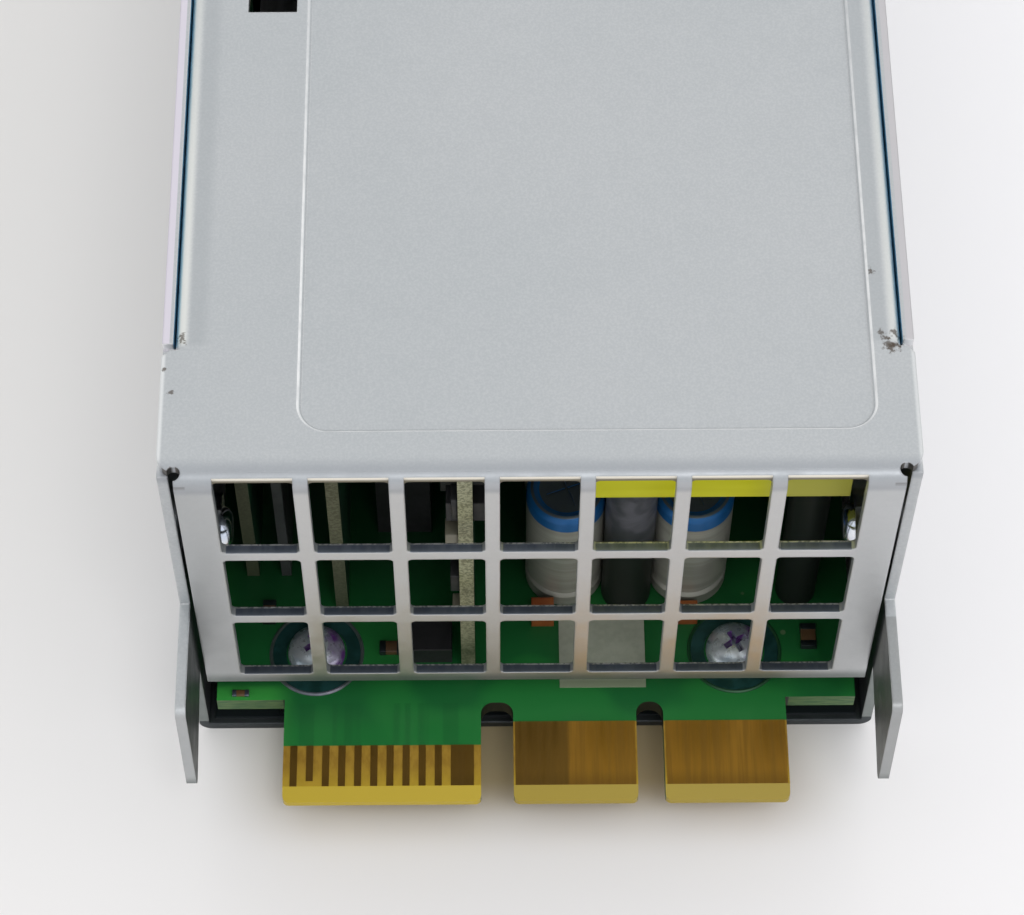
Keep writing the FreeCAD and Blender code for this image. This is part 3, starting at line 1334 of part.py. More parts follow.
def draw_path(sketch, corners, bends):
    """Open line through bound corners at right angles, with an arc at each inner corner."""
    begin = corners[0]
    ends = []
    for index, bend in enumerate(bends, start=1):
        (x, y), (old_x, old_y), (new_x, new_y) = corners[index], corners[index - 1], corners[index + 1]
        step_in = (sign(x, old_x), sign(y, old_y))
        step_out = (sign(new_x, x), sign(new_y, y))
        stop = (x - bend * step_in[0], y - bend * step_in[1])
        onward = (x + bend * step_out[0], y + bend * step_out[1])
        centre = vector(stop[0] + bend * step_out[0], stop[1] + bend * step_out[1])
        ends.append((begin, stop, onward, centre, bend, step_in, step_out))
        begin = onward
    previous = None
    for first, stop, onward, centre, bend, step_in, step_out in ends:
        line = sketch.addGeometry(Part.LineSegment(vector(*first), vector(*stop)))
        pin_point(sketch, line, 1, *first)
        pin_point(sketch, line, 2, *stop)
        if previous is not None:
            sketch.addConstraint(Sketcher.Constraint("Coincident", previous[0], previous[1], line, 1))
        left_turn = step_in[0] * step_out[1] - step_in[1] * step_out[0] > 0
        begin, end = (stop, onward) if left_turn else (onward, stop)
        angles = [math.atan2(float(y) - centre.y, float(x) - centre.x) for x, y in (begin, end)]
        if angles[1] < angles[0]:
            angles[1] += 2 * math.pi
        arc = sketch.addGeometry(Part.ArcOfCircle(Part.Circle(centre, AXES["z"], float(bend)), *angles))
        entry, leave = (1, 2) if left_turn else (2, 1)
        sketch.addConstraint(Sketcher.Constraint("Coincident", line, 2, arc, entry))
        constrain(sketch, "Radius", arc, bend)
        previous = (arc, leave)
    line = sketch.addGeometry(Part.LineSegment(vector(*begin_of(ends)), vector(*corners[-1])))
    pin_point(sketch, line, 1, *begin_of(ends))
    pin_point(sketch, line, 2, *corners[-1])
    sketch.addConstraint(Sketcher.Constraint("Coincident", previous[0], previous[1], line, 1))


def begin_of(ends):
    return ends[-1][2]


def sign(value, other):
    gap = float(value) - float(other)
    return 0 if abs(gap) < 1e-6 else (1 if gap > 0 else -1)


def make_bail():
    body = new_body("pull_bail")
    low = bail_z - size.bail_drop
    arm = bail_half
    stub = ear_out + 0.4
    path = across(body, bail_y, "bail_path")
    draw_path(path, [
        (-stub, bail_z), (-arm, bail_z), (-arm, low),
        (arm, low), (arm, bail_z), (stub, bail_z),
    ], [size.pivot_bend, size.bail_bend, size.bail_bend, size.pivot_bend])
    ring = sideways(body, -stub, "bail_section")
    draw_circle(ring, bail_y, bail_z, size.bail_rod)
    sweep = body.newObject("PartDesign::AdditivePipe", "bent_rod")
    sweep.Profile = ring
    sweep.Spine = path
    grip = new_body("bail_grip")
    start = (-(size.grip_length / 2), bail_y, low)
    rod(grip, "sleeve", start, size.grip_radius, size.grip_length, "x")
    bore = (start[0] - 1, bail_y, low)
    rod(grip, "sleeve_bore", bore, size.bail_rod + 0.02, size.grip_length + 2, "x", cut=True)


def make_latch():
    pivot_x = wall_in - size.lever_wall_gap - size.lever_thickness / 2
    pivot_y = front - size.latch_pivot_setback
    arm_in = pivot_x - size.lever_thickness / 2
    arm_out = pivot_x + size.lever_thickness / 2
    base = size.lever_base
    crest = base + size.lever_tall
    outer = lever_out_x
    thick = size.lever_thickness
    lever = new_body("release_lever")
    plan = level(lever, base, "lever_plan")
    bend_in = front - 14
    bend_out = front - 5
    end = front + 8
    draw_loop(plan, [
        (arm_in, pivot_y), (arm_in, bend_in), (outer, bend_out), (outer, end),
        (outer + thick, end), (outer + thick, bend_out + 0.6),
        (arm_out, bend_in + 0.6), (arm_out, pivot_y),
    ])
    pad(lever, plan, size.lever_tall, "strip")
    rod(lever, "boss", (pivot_x, pivot_y, base), size.latch_boss, size.lever_tall, "z")
    hole = size.latch_pin_radius + size.running_gap
    rod(lever, "boss_hole", (pivot_x, pivot_y, base - 1), hole, size.lever_tall + 2, "z", cut=True)
    catch = level(lever, base + 2.6, "catch_plan")
    catch_front = front - size.catch_setback
    reach = half + size.catch_reach
    draw_loop(catch, [
        (arm_out - 0.3, catch_rear), (reach, catch_front - 1.6),
        (reach, catch_front), (arm_out - 0.3, catch_front),
    ])
    pad(lever, catch, size.lever_tall - 5.2, "catch")
    tab = new_body("release_tab")
    middle = outer + thick / 2
    tab_x = (middle - size.tab_width / 2, middle + size.tab_width / 2)
    tab_y = (front + 1, front + 1 + size.tab_depth)
    shell = block(tab, "grip", tab_x, tab_y, (base, crest + 0.8))
    edges = edges_at(shell, "z", lambda p: near(p.y, tab_y[1]))
    soften(tab, shell, "grip_round", 1.4, edges)
    gap = size.component_gap / 2
    socket_x = (outer - gap, outer + thick + gap)
    block(tab, "socket", socket_x, (front, end + gap), (base - 1, crest + gap), cut=True)
    gap_x = (tab_x[0] - 1, tab_x[0] + 0.5)
    rib = block(tab, "rib_gap", gap_x, (front + 3, front + 3.8), (base - 1, crest + 2), cut=True)
    repeat(tab, rib, "rib_gaps", "Y", 4.8, 4)
    bracket = new_body("latch_bracket")
    side = wall_in - size.component_gap / 2
    lug_x = (pivot_x - 2.4, side)
    span_y = (pivot_y - 3, pivot_y + 3)
    upper = crest + size.spring_room
    low = base - 0.2 - size.gauge
    block(bracket, "back", (side - size.gauge, side), span_y, (low, upper + size.gauge))
    for name, z in (("lower", low), ("upper", upper)):
        block(bracket, f"{name}_lug", lug_x, span_y, (z, z + size.gauge))
    pin_hole = size.latch_pin_radius + 0.02
    drilled = upper + size.gauge - low + 2
    rod(bracket, "pin_hole", (pivot_x, pivot_y, low - 1), pin_hole, drilled, "z", cut=True)
    pin = new_body("latch_pin")
    foot = (pivot_x, pivot_y, low - 0.5)
    rod(pin, "shank", foot, size.latch_pin_radius, upper + size.gauge - foot[2], "z")
    rod(pin, "head", (pivot_x, pivot_y, upper + size.gauge), 1.7, 0.6, "z")
    # Close-wound spring: the coil round the pin, a leg along the lever and its hook.
    spring = new_body("latch_spring")
    wire = size.spring_wire
    coil = size.latch_pin_radius + 0.35 + wire
    coil_z = (crest + 0.5, crest + 0.5 + wire * 5)
    ring = level(spring, coil_z[0], "coil_outline")
    draw_polygon(ring, pivot_x, pivot_y, coil, 12)
    draw_polygon(ring, pivot_x, pivot_y, coil - wire, 12)
    pad(spring, ring, coil_z[1] - coil_z[0], "coil")
    leg_x = (pivot_x - coil, pivot_x - coil + wire)
    block(spring, "long_leg", leg_x, (pivot_y, pivot_y + 9), (coil_z[0], coil_z[0] + wire))
    block(spring, "hook", leg_x, (pivot_y + 9 - wire, pivot_y + 9), (crest - 3, coil_z[0] + wire))


# ---- finish ----------------------------------------------------------------------------

make_tray()
make_cover()
make_cover_fixings()
make_front_panel()
make_main_board()
make_contacts()
make_board_fixings()
make_cards()
make_output_filter()
make_power_train()
make_fan()
make_baffle()
make_inlet()
make_wires()
make_bail()
make_latch()

doc.recompute()
broken = [item.Name for item in doc.Objects if {"Invalid", "Error"} & set(item.State)]
if broken:
    raise RuntimeError(f"failed features: {broken}")
for part in PARTS:
    if part.Shape.isNull() or not part.Shape.isValid():
        raise RuntimeError(f"bad shape: {part.Label}")
os.makedirs("parts", exist_ok=True)
for part in PARTS:
    part.Shape.exportStep(f"parts/{part.Label}.step")
print(f"{len(PARTS)} sub-parts written")
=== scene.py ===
import json
import math

import bmesh
import bpy
from mathutils import Matrix, Vector


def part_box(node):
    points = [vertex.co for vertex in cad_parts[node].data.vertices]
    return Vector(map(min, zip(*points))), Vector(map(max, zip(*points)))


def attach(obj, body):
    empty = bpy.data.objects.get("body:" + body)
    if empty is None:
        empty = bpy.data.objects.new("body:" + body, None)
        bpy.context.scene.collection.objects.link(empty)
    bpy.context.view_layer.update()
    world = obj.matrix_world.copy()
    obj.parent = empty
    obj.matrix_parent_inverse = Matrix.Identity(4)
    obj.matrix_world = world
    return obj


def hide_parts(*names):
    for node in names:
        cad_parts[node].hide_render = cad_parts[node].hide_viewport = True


# Hot swap server power supply: finishes, small forms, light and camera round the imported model.
# Metres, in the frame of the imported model: -Y connector end, +Y handle end, +Z up.

MM = 0.001
WELD = 0.0005 * MM   # points closer than this become one

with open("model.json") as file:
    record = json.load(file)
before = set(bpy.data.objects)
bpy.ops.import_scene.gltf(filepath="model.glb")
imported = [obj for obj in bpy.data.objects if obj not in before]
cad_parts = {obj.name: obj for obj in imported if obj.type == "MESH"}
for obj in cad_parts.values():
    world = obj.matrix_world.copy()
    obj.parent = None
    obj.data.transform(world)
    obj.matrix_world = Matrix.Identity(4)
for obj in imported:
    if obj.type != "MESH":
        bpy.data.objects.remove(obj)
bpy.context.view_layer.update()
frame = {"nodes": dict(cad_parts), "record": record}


# ---- places read from the frame --------------------------------------------------------

cover_low, cover_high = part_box("top_cover")
board_low, board_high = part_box("main_board")
GRILLE = cover_low.y                # outer face of the grille
TOP = cover_high.z                  # upper face of the cover
WING = cover_high.x                 # outer face of the cover's wing, on either side
WINGS_END = GRILLE + 11.6 * MM      # behind it the cover lies inside the tray's walls
BOARD_TOP = board_high.z
BOARD_TIP = board_low.y
FIRST_GAP = -3.1 * MM               # between the signal tongue and the power tongues


def solids(name):
    """Lowest and highest corner of each separate solid of a CAD node, in a fixed order."""
    mesh = bmesh.new()
    mesh.from_mesh(frame["nodes"][name].data)
    bmesh.ops.remove_doubles(mesh, verts=mesh.verts, dist=2 * WELD)
    left = set(mesh.verts)
    found = []
    while left:
        edge = [left.pop()]
        points = []
        while edge:
            vert = edge.pop()
            points.append(vert.co.copy())
            for side in vert.link_edges:
                other = side.other_vert(vert)
                if other in left:
                    left.remove(other)
                    edge.append(other)
        low = Vector([min(p[axis] for p in points) for axis in range(3)])
        high = Vector([max(p[axis] for p in points) for axis in range(3)])
        found.append((low, high))
    mesh.free()
    return sorted(found, key=lambda pair: (pair[0].y, pair[0].x, pair[0].z))


# ---- node helpers ----------------------------------------------------------------------

class Shader:
    """A material's node tree with short calls for the nodes that the finishes use."""

    def __init__(self, name, colour, roughness, metallic=0.0, **extra):
        self.material = bpy.data.materials.new(name)
        self.material.use_nodes = True
        self.tree = self.material.node_tree
        self.bsdf = self.tree.nodes["Principled BSDF"]
        self.bsdf.inputs["Base Color"].default_value = (*colour, 1)
        self.bsdf.inputs["Roughness"].default_value = roughness
        self.bsdf.inputs["Metallic"].default_value = metallic
        for socket, value in extra.items():
            self.bsdf.inputs[socket.replace("_", " ")].default_value = value
        self.place = self.node("ShaderNodeTexCoord").outputs["Object"]
        self.tone = None

    def node(self, kind, **settings):
        """New node of a kind, with its settings."""
        item = self.tree.nodes.new(kind)
        for key, value in settings.items():
            setattr(item, key, value)
        return item

    def link(self, source, target):
        self.tree.links.new(source, target)

    def parts(self, vector):
        """X, Y and Z of a vector."""
        item = self.node("ShaderNodeSeparateXYZ")
        self.link(vector, item.inputs[0])
        return [item.outputs[letter] for letter in "XYZ"]

    def axes(self):
        """X, Y and Z of the place on the object."""
        return self.parts(self.place)

    def facing(self):
        """X, Y and Z of the way that the surface faces."""
        return self.parts(self.node("ShaderNodeNewGeometry").outputs["True Normal"])

    def stretched(self, x, y, z):
        """Object coordinates scaled by axis, for grain that runs one way."""
        item = self.node("ShaderNodeMapping")
        item.inputs["Scale"].default_value = (x, y, z)
        self.link(self.place, item.inputs["Vector"])
        return item.outputs["Vector"]

    def noise(self, scale, detail=3.0, rough=0.55, at=None, distortion=0.0):
        """Cloudy pattern round 0.5; the scale is in features a metre."""
        item = self.node("ShaderNodeTexNoise")
        item.inputs["Scale"].default_value = scale
        item.inputs["Detail"].default_value = detail
        item.inputs["Roughness"].default_value = rough
        item.inputs["Distortion"].default_value = distortion
        self.link(at or self.place, item.inputs["Vector"])
        return item.outputs["Fac"]

    def scattered(self, scale):
        """Distance from the nearest of many scattered points, in cells."""
        item = self.node("ShaderNodeTexVoronoi", feature="F1")
        item.inputs["Scale"].default_value = scale
        self.link(self.place, item.inputs["Vector"])
        return item.outputs["Distance"]

    def between(self, fac, low, high, out_low=0.0, out_high=1.0):
        """Smooth step between two values of a factor; it falls where low is the larger one."""
        item = self.node("ShaderNodeMapRange", interpolation_type="SMOOTHSTEP")
        ends = ("From Min", "From Max", "To Min", "To Max")
        for end, value in zip(ends, (low, high, out_low, out_high)):
            item.inputs[end].default_value = value
        self.link(fac, item.inputs["Value"])
        return item.outputs["Result"]

    def maths(self, operation, first, second=None):
        """Sum or comparison of sockets and numbers."""
        item = self.node("ShaderNodeMath", operation=operation)
        for socket, value in zip(item.inputs, (first, second)):
            if isinstance(value, (int, float)):
                socket.default_value = value
            elif value is not None:
                self.link(value, socket)
        return item.outputs[0]

    def unsigned(self, value):
        """A value without its sign."""
        return self.maths("ABSOLUTE", value)

    def both(self, *masks):
        """Product of several masks."""
        result = masks[0]
        for mask in masks[1:]:
            result = self.maths("MULTIPLY", result, mask)
        return result

    def above(self, value, edge, soft=0.05 * MM):
        """1 where a coordinate is above an edge, 0 below it."""
        return self.between(value, edge - soft, edge + soft)

    def below(self, value, edge, soft=0.05 * MM):
        """1 where a coordinate is below an edge, 0 above it."""
        return self.between(value, edge - soft, edge + soft, 1.0, 0.0)

    def mix(self, fac, first, second):
        """First colour where the factor is 0, second where it is 1."""
        item = self.node("ShaderNodeMix", data_type="RGBA")
        factor, low, high = item.inputs[0], item.inputs[6], item.inputs[7]
        self.link(fac, factor)
        for socket, value in ((low, first), (high, second)):
            if isinstance(value, tuple):
                socket.default_value = (*value, 1)
            else:
                self.link(value, socket)
        return item.outputs[2]

    def ground(self, fac, first, second):
        """First coat of the surface: two colours by a factor."""
        self.tone = self.mix(fac, first, second)
        self.link(self.tone, self.bsdf.inputs["Base Color"])

    def mottle(self, pattern, low, high, first, second):
        """First coat: two colours that follow a pattern between two of its values."""
        self.ground(self.between(pattern, low, high), first, second)

    def paint(self, mask, second, amount=1.0):
        """Next coat: a colour over what is there, where the mask is 1."""
        if amount != 1.0:
            mask = self.maths("MULTIPLY", mask, amount)
        self.ground(mask, self.tone, second)

    def bump(self, height, distance, strength):
        """Relief of a pattern, on top of what the normal already has."""
        item = self.node("ShaderNodeBump")
        item.inputs["Distance"].default_value = distance
        item.inputs["Strength"].default_value = strength
        self.link(height, item.inputs["Height"])
        normal = self.bsdf.inputs["Normal"]
        if normal.is_linked:
            self.link(normal.links[0].from_socket, item.inputs["Normal"])
        self.link(item.outputs["Normal"], normal)

    def rounded(self, radius):
        """The surface's normal with its edges rounded off."""
        item = self.node("ShaderNodeBevel", samples=4)
        item.inputs["Radius"].default_value = radius
        return item.outputs["Normal"]

    def edges(self, radius):
        """1 on the sharp edges of a solid, 0 on its faces."""
        dot = self.node("ShaderNodeVectorMath", operation="DOT_PRODUCT")
        self.link(self.rounded(radius), dot.inputs[0])
        self.link(self.node("ShaderNodeNewGeometry").outputs["Normal"], dot.inputs[1])
        return self.between(dot.outputs["Value"], 0.995, 0.9)

    def round_edges(self, radius):
        """Light catches the edges as if they were slightly round."""
        self.link(self.rounded(radius), self.bsdf.inputs["Normal"])

    def spot(self, centre, radius):
        """1 within a distance of a point, ragged at its edge."""
        item = self.node("ShaderNodeVectorMath", operation="DISTANCE")
        self.link(self.place, item.inputs[0])
        item.inputs[1].default_value = centre
        wander = self.maths("SUBTRACT", self.noise(2300, 4, 0.7), 0.5)
        wander = self.maths("MULTIPLY", wander, radius * 6.0)
        reach = self.maths("SUBTRACT", item.outputs["Value"], wander)
        return self.between(reach, radius * 1.35, radius * 0.45)

    def roughness(self, pattern, low, high):
        """Roughness between two values, by a pattern."""
        self.link(self.between(pattern, 0.3, 0.7, low, high), self.bsdf.inputs["Roughness"])


# ---- finishes --------------------------------------------------------------------------

def galvanised():
    """Zinc coated sheet: cool grey, a grain like fine sand, painted highlights where it is cut or bent, and
    painted shade in its gaps and hollows.
    """
    steel = Shader("galvanised_sheet", (0.52, 0.54, 0.55), 0.42, metallic=0.8)
    steel.round_edges(0.22 * MM)
    cloud = steel.between(steel.noise(30, 4), 0.35, 0.65)
    grain = steel.noise(2600, 4, 0.75)
    fine = steel.between(steel.noise(5200, 2, 0.6), 0.62, 0.42)
    rubbed = steel.between(steel.noise(1.0, 4, at=steel.stretched(70, 22, 70)), 0.58, 0.8)
    steel.ground(cloud, (0.49, 0.514, 0.528), (0.52, 0.538, 0.55))
    steel.paint(steel.between(grain, 0.3, 0.72), (0.6, 0.612, 0.616), 0.3)
    steel.paint(fine, (0.415, 0.44, 0.455), 0.26)
    steel.paint(rubbed, (0.4, 0.425, 0.44), 0.14)
    # Painted highlight along every sharp edge, over the paler bare steel of the cut edges.
    steel.paint(steel.edges(0.16 * MM), (0.86, 0.87, 0.87), 0.5)
    paint_long_edge_light_and_shade(steel)
    paint_grille_light_and_shade(steel)
    paint_panel_edge_highlight(steel)
    paint_sheared_faces(steel)
    paint_dark_places(steel)
    for centre, radius in grime_places():
        steel.paint(steel.spot(centre, radius), (0.095, 0.075, 0.058), 0.78)
    steel.roughness(steel.noise(520, 3), 0.38, 0.5)
    steel.bump(grain, 0.01 * MM, 0.5)
    steel.bump(steel.noise(240, 3), 0.03 * MM, 0.2)
    return steel.material


def paint_long_edge_light_and_shade(steel):
    """Painted highlights and shade on the cover's wings and side bends, the tops of the tray's walls and
    the gaps between them.
    """
    across, along, height = steel.axes()
    face_x, face_y, face_z = steel.facing()
    aside = steel.unsigned(across)
    left, right = steel.below(across, 0.0), steel.above(across, 0.0)
    # Painted highlight along the outer edge of each wing, stronger on the left.
    rim = steel.both(
        steel.above(aside, WING - 0.28 * MM, 0.12 * MM), steel.above(height, TOP - 0.9 * MM),
        steel.below(along, GRILLE + 11.0 * MM), steel.between(across, MM, -MM, 0.4, 0.55),
    )
    steel.paint(rim, (0.93, 0.94, 0.93))
    # The side bends: painted shade in a soft band, then a painted highlight at the gap, weaker on the
    # right.
    behind = steel.both(steel.above(along, WINGS_END, 0.3 * MM), steel.above(height, TOP - 1.5 * MM))
    side_bend_shade = steel.both(
        behind, steel.between(aside, 23.6 * MM, 24.6 * MM), steel.between(aside, 25.5 * MM, 25.1 * MM),
    )
    steel.paint(side_bend_shade, (0.38, 0.405, 0.42), 0.42)
    side_bend_highlight = steel.both(
        behind, steel.between(aside, 25.25 * MM, 25.75 * MM), steel.below(aside, 26.34 * MM, 0.02 * MM),
        steel.between(along, GRILLE + 60 * MM, GRILLE + 16 * MM, 0.22, 0.66),
        steel.between(across, MM, -MM, 0.62, 1.0),
    )
    steel.paint(side_bend_highlight, (0.85, 0.86, 0.81))
    # The tray's wall tops in painted light and shade: a lit lavender on the left, a shaded warmer grey on
    # the right.
    wall = steel.both(behind, steel.above(aside, 26.72 * MM, 0.03 * MM), steel.above(face_z, 0.6))
    steel.paint(steel.both(wall, left), (0.7, 0.665, 0.735))
    steel.paint(steel.both(wall, right), (0.56, 0.545, 0.56))
    # Painted highlight on the small face where the wing ends.
    step = steel.both(
        steel.above(aside, 26.5 * MM), steel.above(along, GRILLE + 9.5 * MM),
        steel.above(height, TOP - 2.5 * MM), steel.between(face_y, -0.4, -0.8),
    )
    steel.paint(step, (0.93, 0.925, 0.94), 0.8)
    # The gaps: a painted bluish highlight behind the wings, painted shade near black beside the grille.
    walls = steel.both(steel.between(steel.unsigned(face_x), 0.8, 0.95), steel.below(aside, 26.7 * MM))
    steel.paint(steel.both(walls, steel.above(aside, 26.1 * MM), behind), (0.3, 0.62, 0.8))
    beside = steel.both(walls, steel.above(aside, 25.2 * MM), steel.below(along, GRILLE + 7 * MM))
    steel.paint(beside, (0.02, 0.026, 0.032), 0.85)


def paint_grille_light_and_shade(steel):
    """The grille in painted light and shade: paler towards the bend, warmer and duller towards its foot,
    where it takes a painted reflection of the contacts and painted shade.
    """
    across, along, height = steel.axes()
    face_y = steel.facing()[1]
    front = steel.both(steel.between(face_y, -0.7, -0.9), steel.below(along, GRILLE + 0.3 * MM))
    # Painted light up high and a warm painted reflection of the contacts lower down.
    grille_light_and_shade = steel.mix(steel.between(height, 8 * MM, 26 * MM), (0.48, 0.445, 0.375), (0.6, 0.596, 0.59))
    margin = steel.between(steel.unsigned(across), 19 * MM, 24 * MM)
    grille_light_and_shade = steel.mix(margin, grille_light_and_shade, (0.545, 0.555, 0.56))
    # Painted shade along the left margin.
    left_margin_shade = steel.between(across, -20 * MM, -27 * MM, 0.0, 0.5)
    grille_light_and_shade = steel.mix(left_margin_shade, grille_light_and_shade, (0.33, 0.345, 0.345))
    # Painted shade at the grille's foot.
    foot = steel.between(height, 10.2 * MM, 8.8 * MM, 0.0, 0.9)
    grille_light_and_shade = steel.mix(foot, grille_light_and_shade, (0.105, 0.13, 0.115))
    steel.paint(front, grille_light_and_shade, 0.75)
    # Painted shade in the bend over the grille.
    bend = steel.both(
        steel.between(along, GRILLE + 2.3 * MM, GRILLE + 1.1 * MM),
        steel.between(height, TOP - 1.9 * MM, TOP - 1.2 * MM),
    )
    steel.paint(bend, (0.33, 0.35, 0.38), 0.6)


def paint_panel_edge_highlight(steel):
    """A painted highlight on the pressed edge of the recessed panel, strongest at its near end."""
    across, along, height = steel.axes()
    face_z = steel.facing()[2]
    slope = steel.both(
        steel.between(face_z, 0.985, 0.94), steel.above(face_z, 0.3),
        steel.above(height, TOP - 0.17 * MM, 0.03 * MM), steel.above(along, GRILLE + 4 * MM),
        steel.below(steel.unsigned(across), 24.3 * MM),
    )
    nearer = steel.between(along, GRILLE + 50 * MM, GRILLE + 18 * MM, 0.4, 0.95)
    highlight_breaks = steel.between(steel.noise(700, 3), 0.3, 0.6, 0.7, 1.0)
    steel.paint(steel.both(slope, nearer, highlight_breaks), (0.93, 0.935, 0.93))


def paint_sheared_faces(steel):
    """Cut faces in the grille's openings: bare, bluish steel with a bright painted highlight on the burr at
    the far edge.
    """
    across, along, height = steel.axes()
    face_y, face_z = steel.facing()[1:]
    middle = steel.both(
        steel.below(steel.unsigned(across), 23 * MM), steel.above(height, 8.8 * MM),
        steel.below(height, TOP - 2.5 * MM),
    )
    within = steel.both(
        steel.below(along, GRILLE + 1.0 * MM), steel.above(along, GRILLE + 0.03 * MM, 0.02 * MM),
    )
    streaks = steel.between(steel.noise(1.0, 2, at=steel.stretched(1500, 300, 300)), 0.35, 0.65)
    bare = steel.mix(streaks, (0.115, 0.14, 0.185), (0.165, 0.19, 0.235))
    outside = steel.between(along, GRILLE + 0.45 * MM, GRILLE + 0.1 * MM, 0.0, 0.6)
    bare = steel.mix(outside, bare, (0.26, 0.29, 0.34))
    bare = steel.mix(steel.between(height, 25 * MM, 20 * MM, 0.0, 0.45), bare, (0.055, 0.072, 0.092))
    # Painted highlight along the burr, broken up by a pattern.
    broken = steel.between(steel.noise(3800, 2), 0.4, 0.58, 0.3, 0.95)
    burr = steel.both(steel.above(along, GRILLE + 0.68 * MM), broken)
    bare = steel.mix(burr, bare, (0.8, 0.81, 0.8))
    steel.paint(steel.both(middle, within, steel.between(face_z, 0.8, 0.95)), bare)
    # The upper row's upper ends, in the bend itself, catch the light.
    lit = steel.both(
        steel.above(along, GRILLE + 0.3 * MM), steel.below(along, GRILLE + 0.7 * MM),
        steel.above(height, TOP - 1.0 * MM), steel.between(face_y, -0.8, -0.95),
    )
    crown = steel.above(height, TOP - 0.5 * MM, 0.15 * MM)
    steel.paint(lit, steel.mix(crown, (0.24, 0.22, 0.17), (0.9, 0.86, 0.76)))


def paint_dark_places(steel):
    """The relief holes at the grille's corners, and painted shade on the tray's floor inside and on the
    right ear.
    """
    across, along, height = steel.axes()
    face_y, face_z = steel.facing()[1:]
    from_hole = steel.unsigned(steel.maths("SUBTRACT", steel.unsigned(across), 26.0 * MM))
    relief = steel.both(
        steel.below(from_hole, 0.82 * MM), steel.below(along, GRILLE + 1.95 * MM),
        steel.above(height, TOP - 0.95 * MM), steel.between(steel.unsigned(face_z), 0.5, 0.2),
        steel.between(face_y, -0.99, -0.95),
    )
    steel.paint(relief, (0.085, 0.07, 0.055), 0.8)
    # Painted shade on the tray's floor under the board's edge.
    floor = steel.both(
        steel.below(height, 1.4 * MM), steel.above(along, GRILLE - 1.5 * MM),
        steel.below(along, GRILLE + 9 * MM), steel.above(face_z, -0.5),
    )
    steel.paint(floor, (0.03, 0.038, 0.045), 0.9)
    # Painted shade on the right ear, which faces inwards.
    right_ear_shade = steel.both(steel.above(across, 20 * MM), steel.below(along, GRILLE - 0.5 * MM))
    steel.paint(right_ear_shade, (0.27, 0.275, 0.27), 0.55)


def grime_places():
    """Old grease where the right wing steps in, and a few specks: centres and radii."""
    places = [   # side, inwards from the wing's face, behind the grille, radius
        (1, 2.35, 12.35, 0.24), (1, 2.15, 11.9, 0.22), (1, 1.9, 11.3, 0.36), (1, 1.55, 10.95, 0.36),
        (1, 1.3, 11.2, 0.26), (1, 0.95, 11.75, 0.26), (1, 1.35, 12.3, 0.34), (1, 2.73, 17.7, 0.26),
        (-1, 0.8, 7.6, 0.18), (-1, 0.3, 9.5, 0.16), (-1, 1.35, 12.15, 0.36), (-1, 1.15, 1.0, 0.26),
        (1, 1.25, 0.9, 0.24),
    ]
    return [
        (Vector((side * (WING - inset * MM), GRILLE + back * MM, TOP)), radius * MM)
        for side, inset, back, radius in places
    ]


def bright_zinc():
    """Passivated zinc: a bright bluish skin."""
    screw = Shader("bright_zinc", (0.74, 0.77, 0.81), 0.14, metallic=1.0)
    bloom = screw.between(screw.noise(500, 2, 0.5), 0.4, 0.6)
    screw.ground(bloom, (0.82, 0.84, 0.87), (0.58, 0.64, 0.74))
    screw.roughness(screw.noise(1500, 3), 0.09, 0.22)
    screw.bump(screw.noise(2600, 2), 0.008 * MM, 0.3)
    return screw.material


def board_screw():
    """Passivated screw heads: a soft pale skin, violet where they face right."""
    screw = Shader("violet_zinc", (0.5, 0.56, 0.6), 0.3, metallic=0.55)
    bloom = screw.noise(500, 2, 0.5)
    screw.mottle(bloom, 0.4, 0.6, (0.6, 0.65, 0.68), (0.38, 0.45, 0.51))
    turned_right = screw.between(screw.facing()[0], 0.18, 0.5)
    violet = screw.both(turned_right, screw.between(bloom, 0.34, 0.54, 0.35, 1.0))
    screw.paint(violet, (0.26, 0.085, 0.42))
    screw.roughness(screw.noise(1500, 3), 0.24, 0.36)
    screw.bump(screw.noise(2600, 2), 0.006 * MM, 0.2)
    return screw.material


def ring_pad():
    """Dark green annulus round the board screws."""
    pad = Shader("ring_pad", (0.012, 0.05, 0.045), 0.34, metallic=0.15, Specular_IOR_Level=0.35)
    patch = pad.noise(700, 3)
    pad.mottle(patch, 0.38, 0.62, (0.007, 0.04, 0.034), (0.014, 0.066, 0.062))
    pad.bump(patch, 0.02 * MM, 0.3)
    return pad.material


def ring_rim():
    """Raised rim of the pad: lavender solder on the left screw, mask over it on the right, in painted shade
    behind the grille.
    """
    rim = Shader("ring_rim", (0.2, 0.19, 0.26), 0.36, metallic=0.35)
    across, along, _ = rim.axes()
    patch = rim.noise(900, 3)
    rim.mottle(patch, 0.38, 0.62, (0.15, 0.16, 0.2), (0.27, 0.25, 0.33))
    # Painted shade where the rim lies behind the grille.
    rim.paint(rim.between(along, GRILLE - 0.3 * MM, GRILLE + 1.5 * MM), (0.045, 0.08, 0.055), 0.8)
    rim.paint(rim.above(across, 0.0), (0.012, 0.07, 0.026))
    rim.bump(patch, 0.02 * MM, 0.3)
    return rim.material


def tinned():
    """Dulled solder on the ends of the small parts, darker behind the grille."""
    metal = Shader("tinned_copper", (0.3, 0.33, 0.38), 0.3, metallic=0.85)
    patch = metal.noise(700, 3)
    metal.mottle(patch, 0.38, 0.62, (0.12, 0.15, 0.2), (0.26, 0.27, 0.36))
    shade = metal.between(metal.axes()[1], GRILLE - 0.3 * MM, GRILLE + 1.5 * MM)
    metal.paint(shade, (0.02, 0.036, 0.03), 0.88)
    metal.bump(patch, 0.02 * MM, 0.4)
    return metal.material


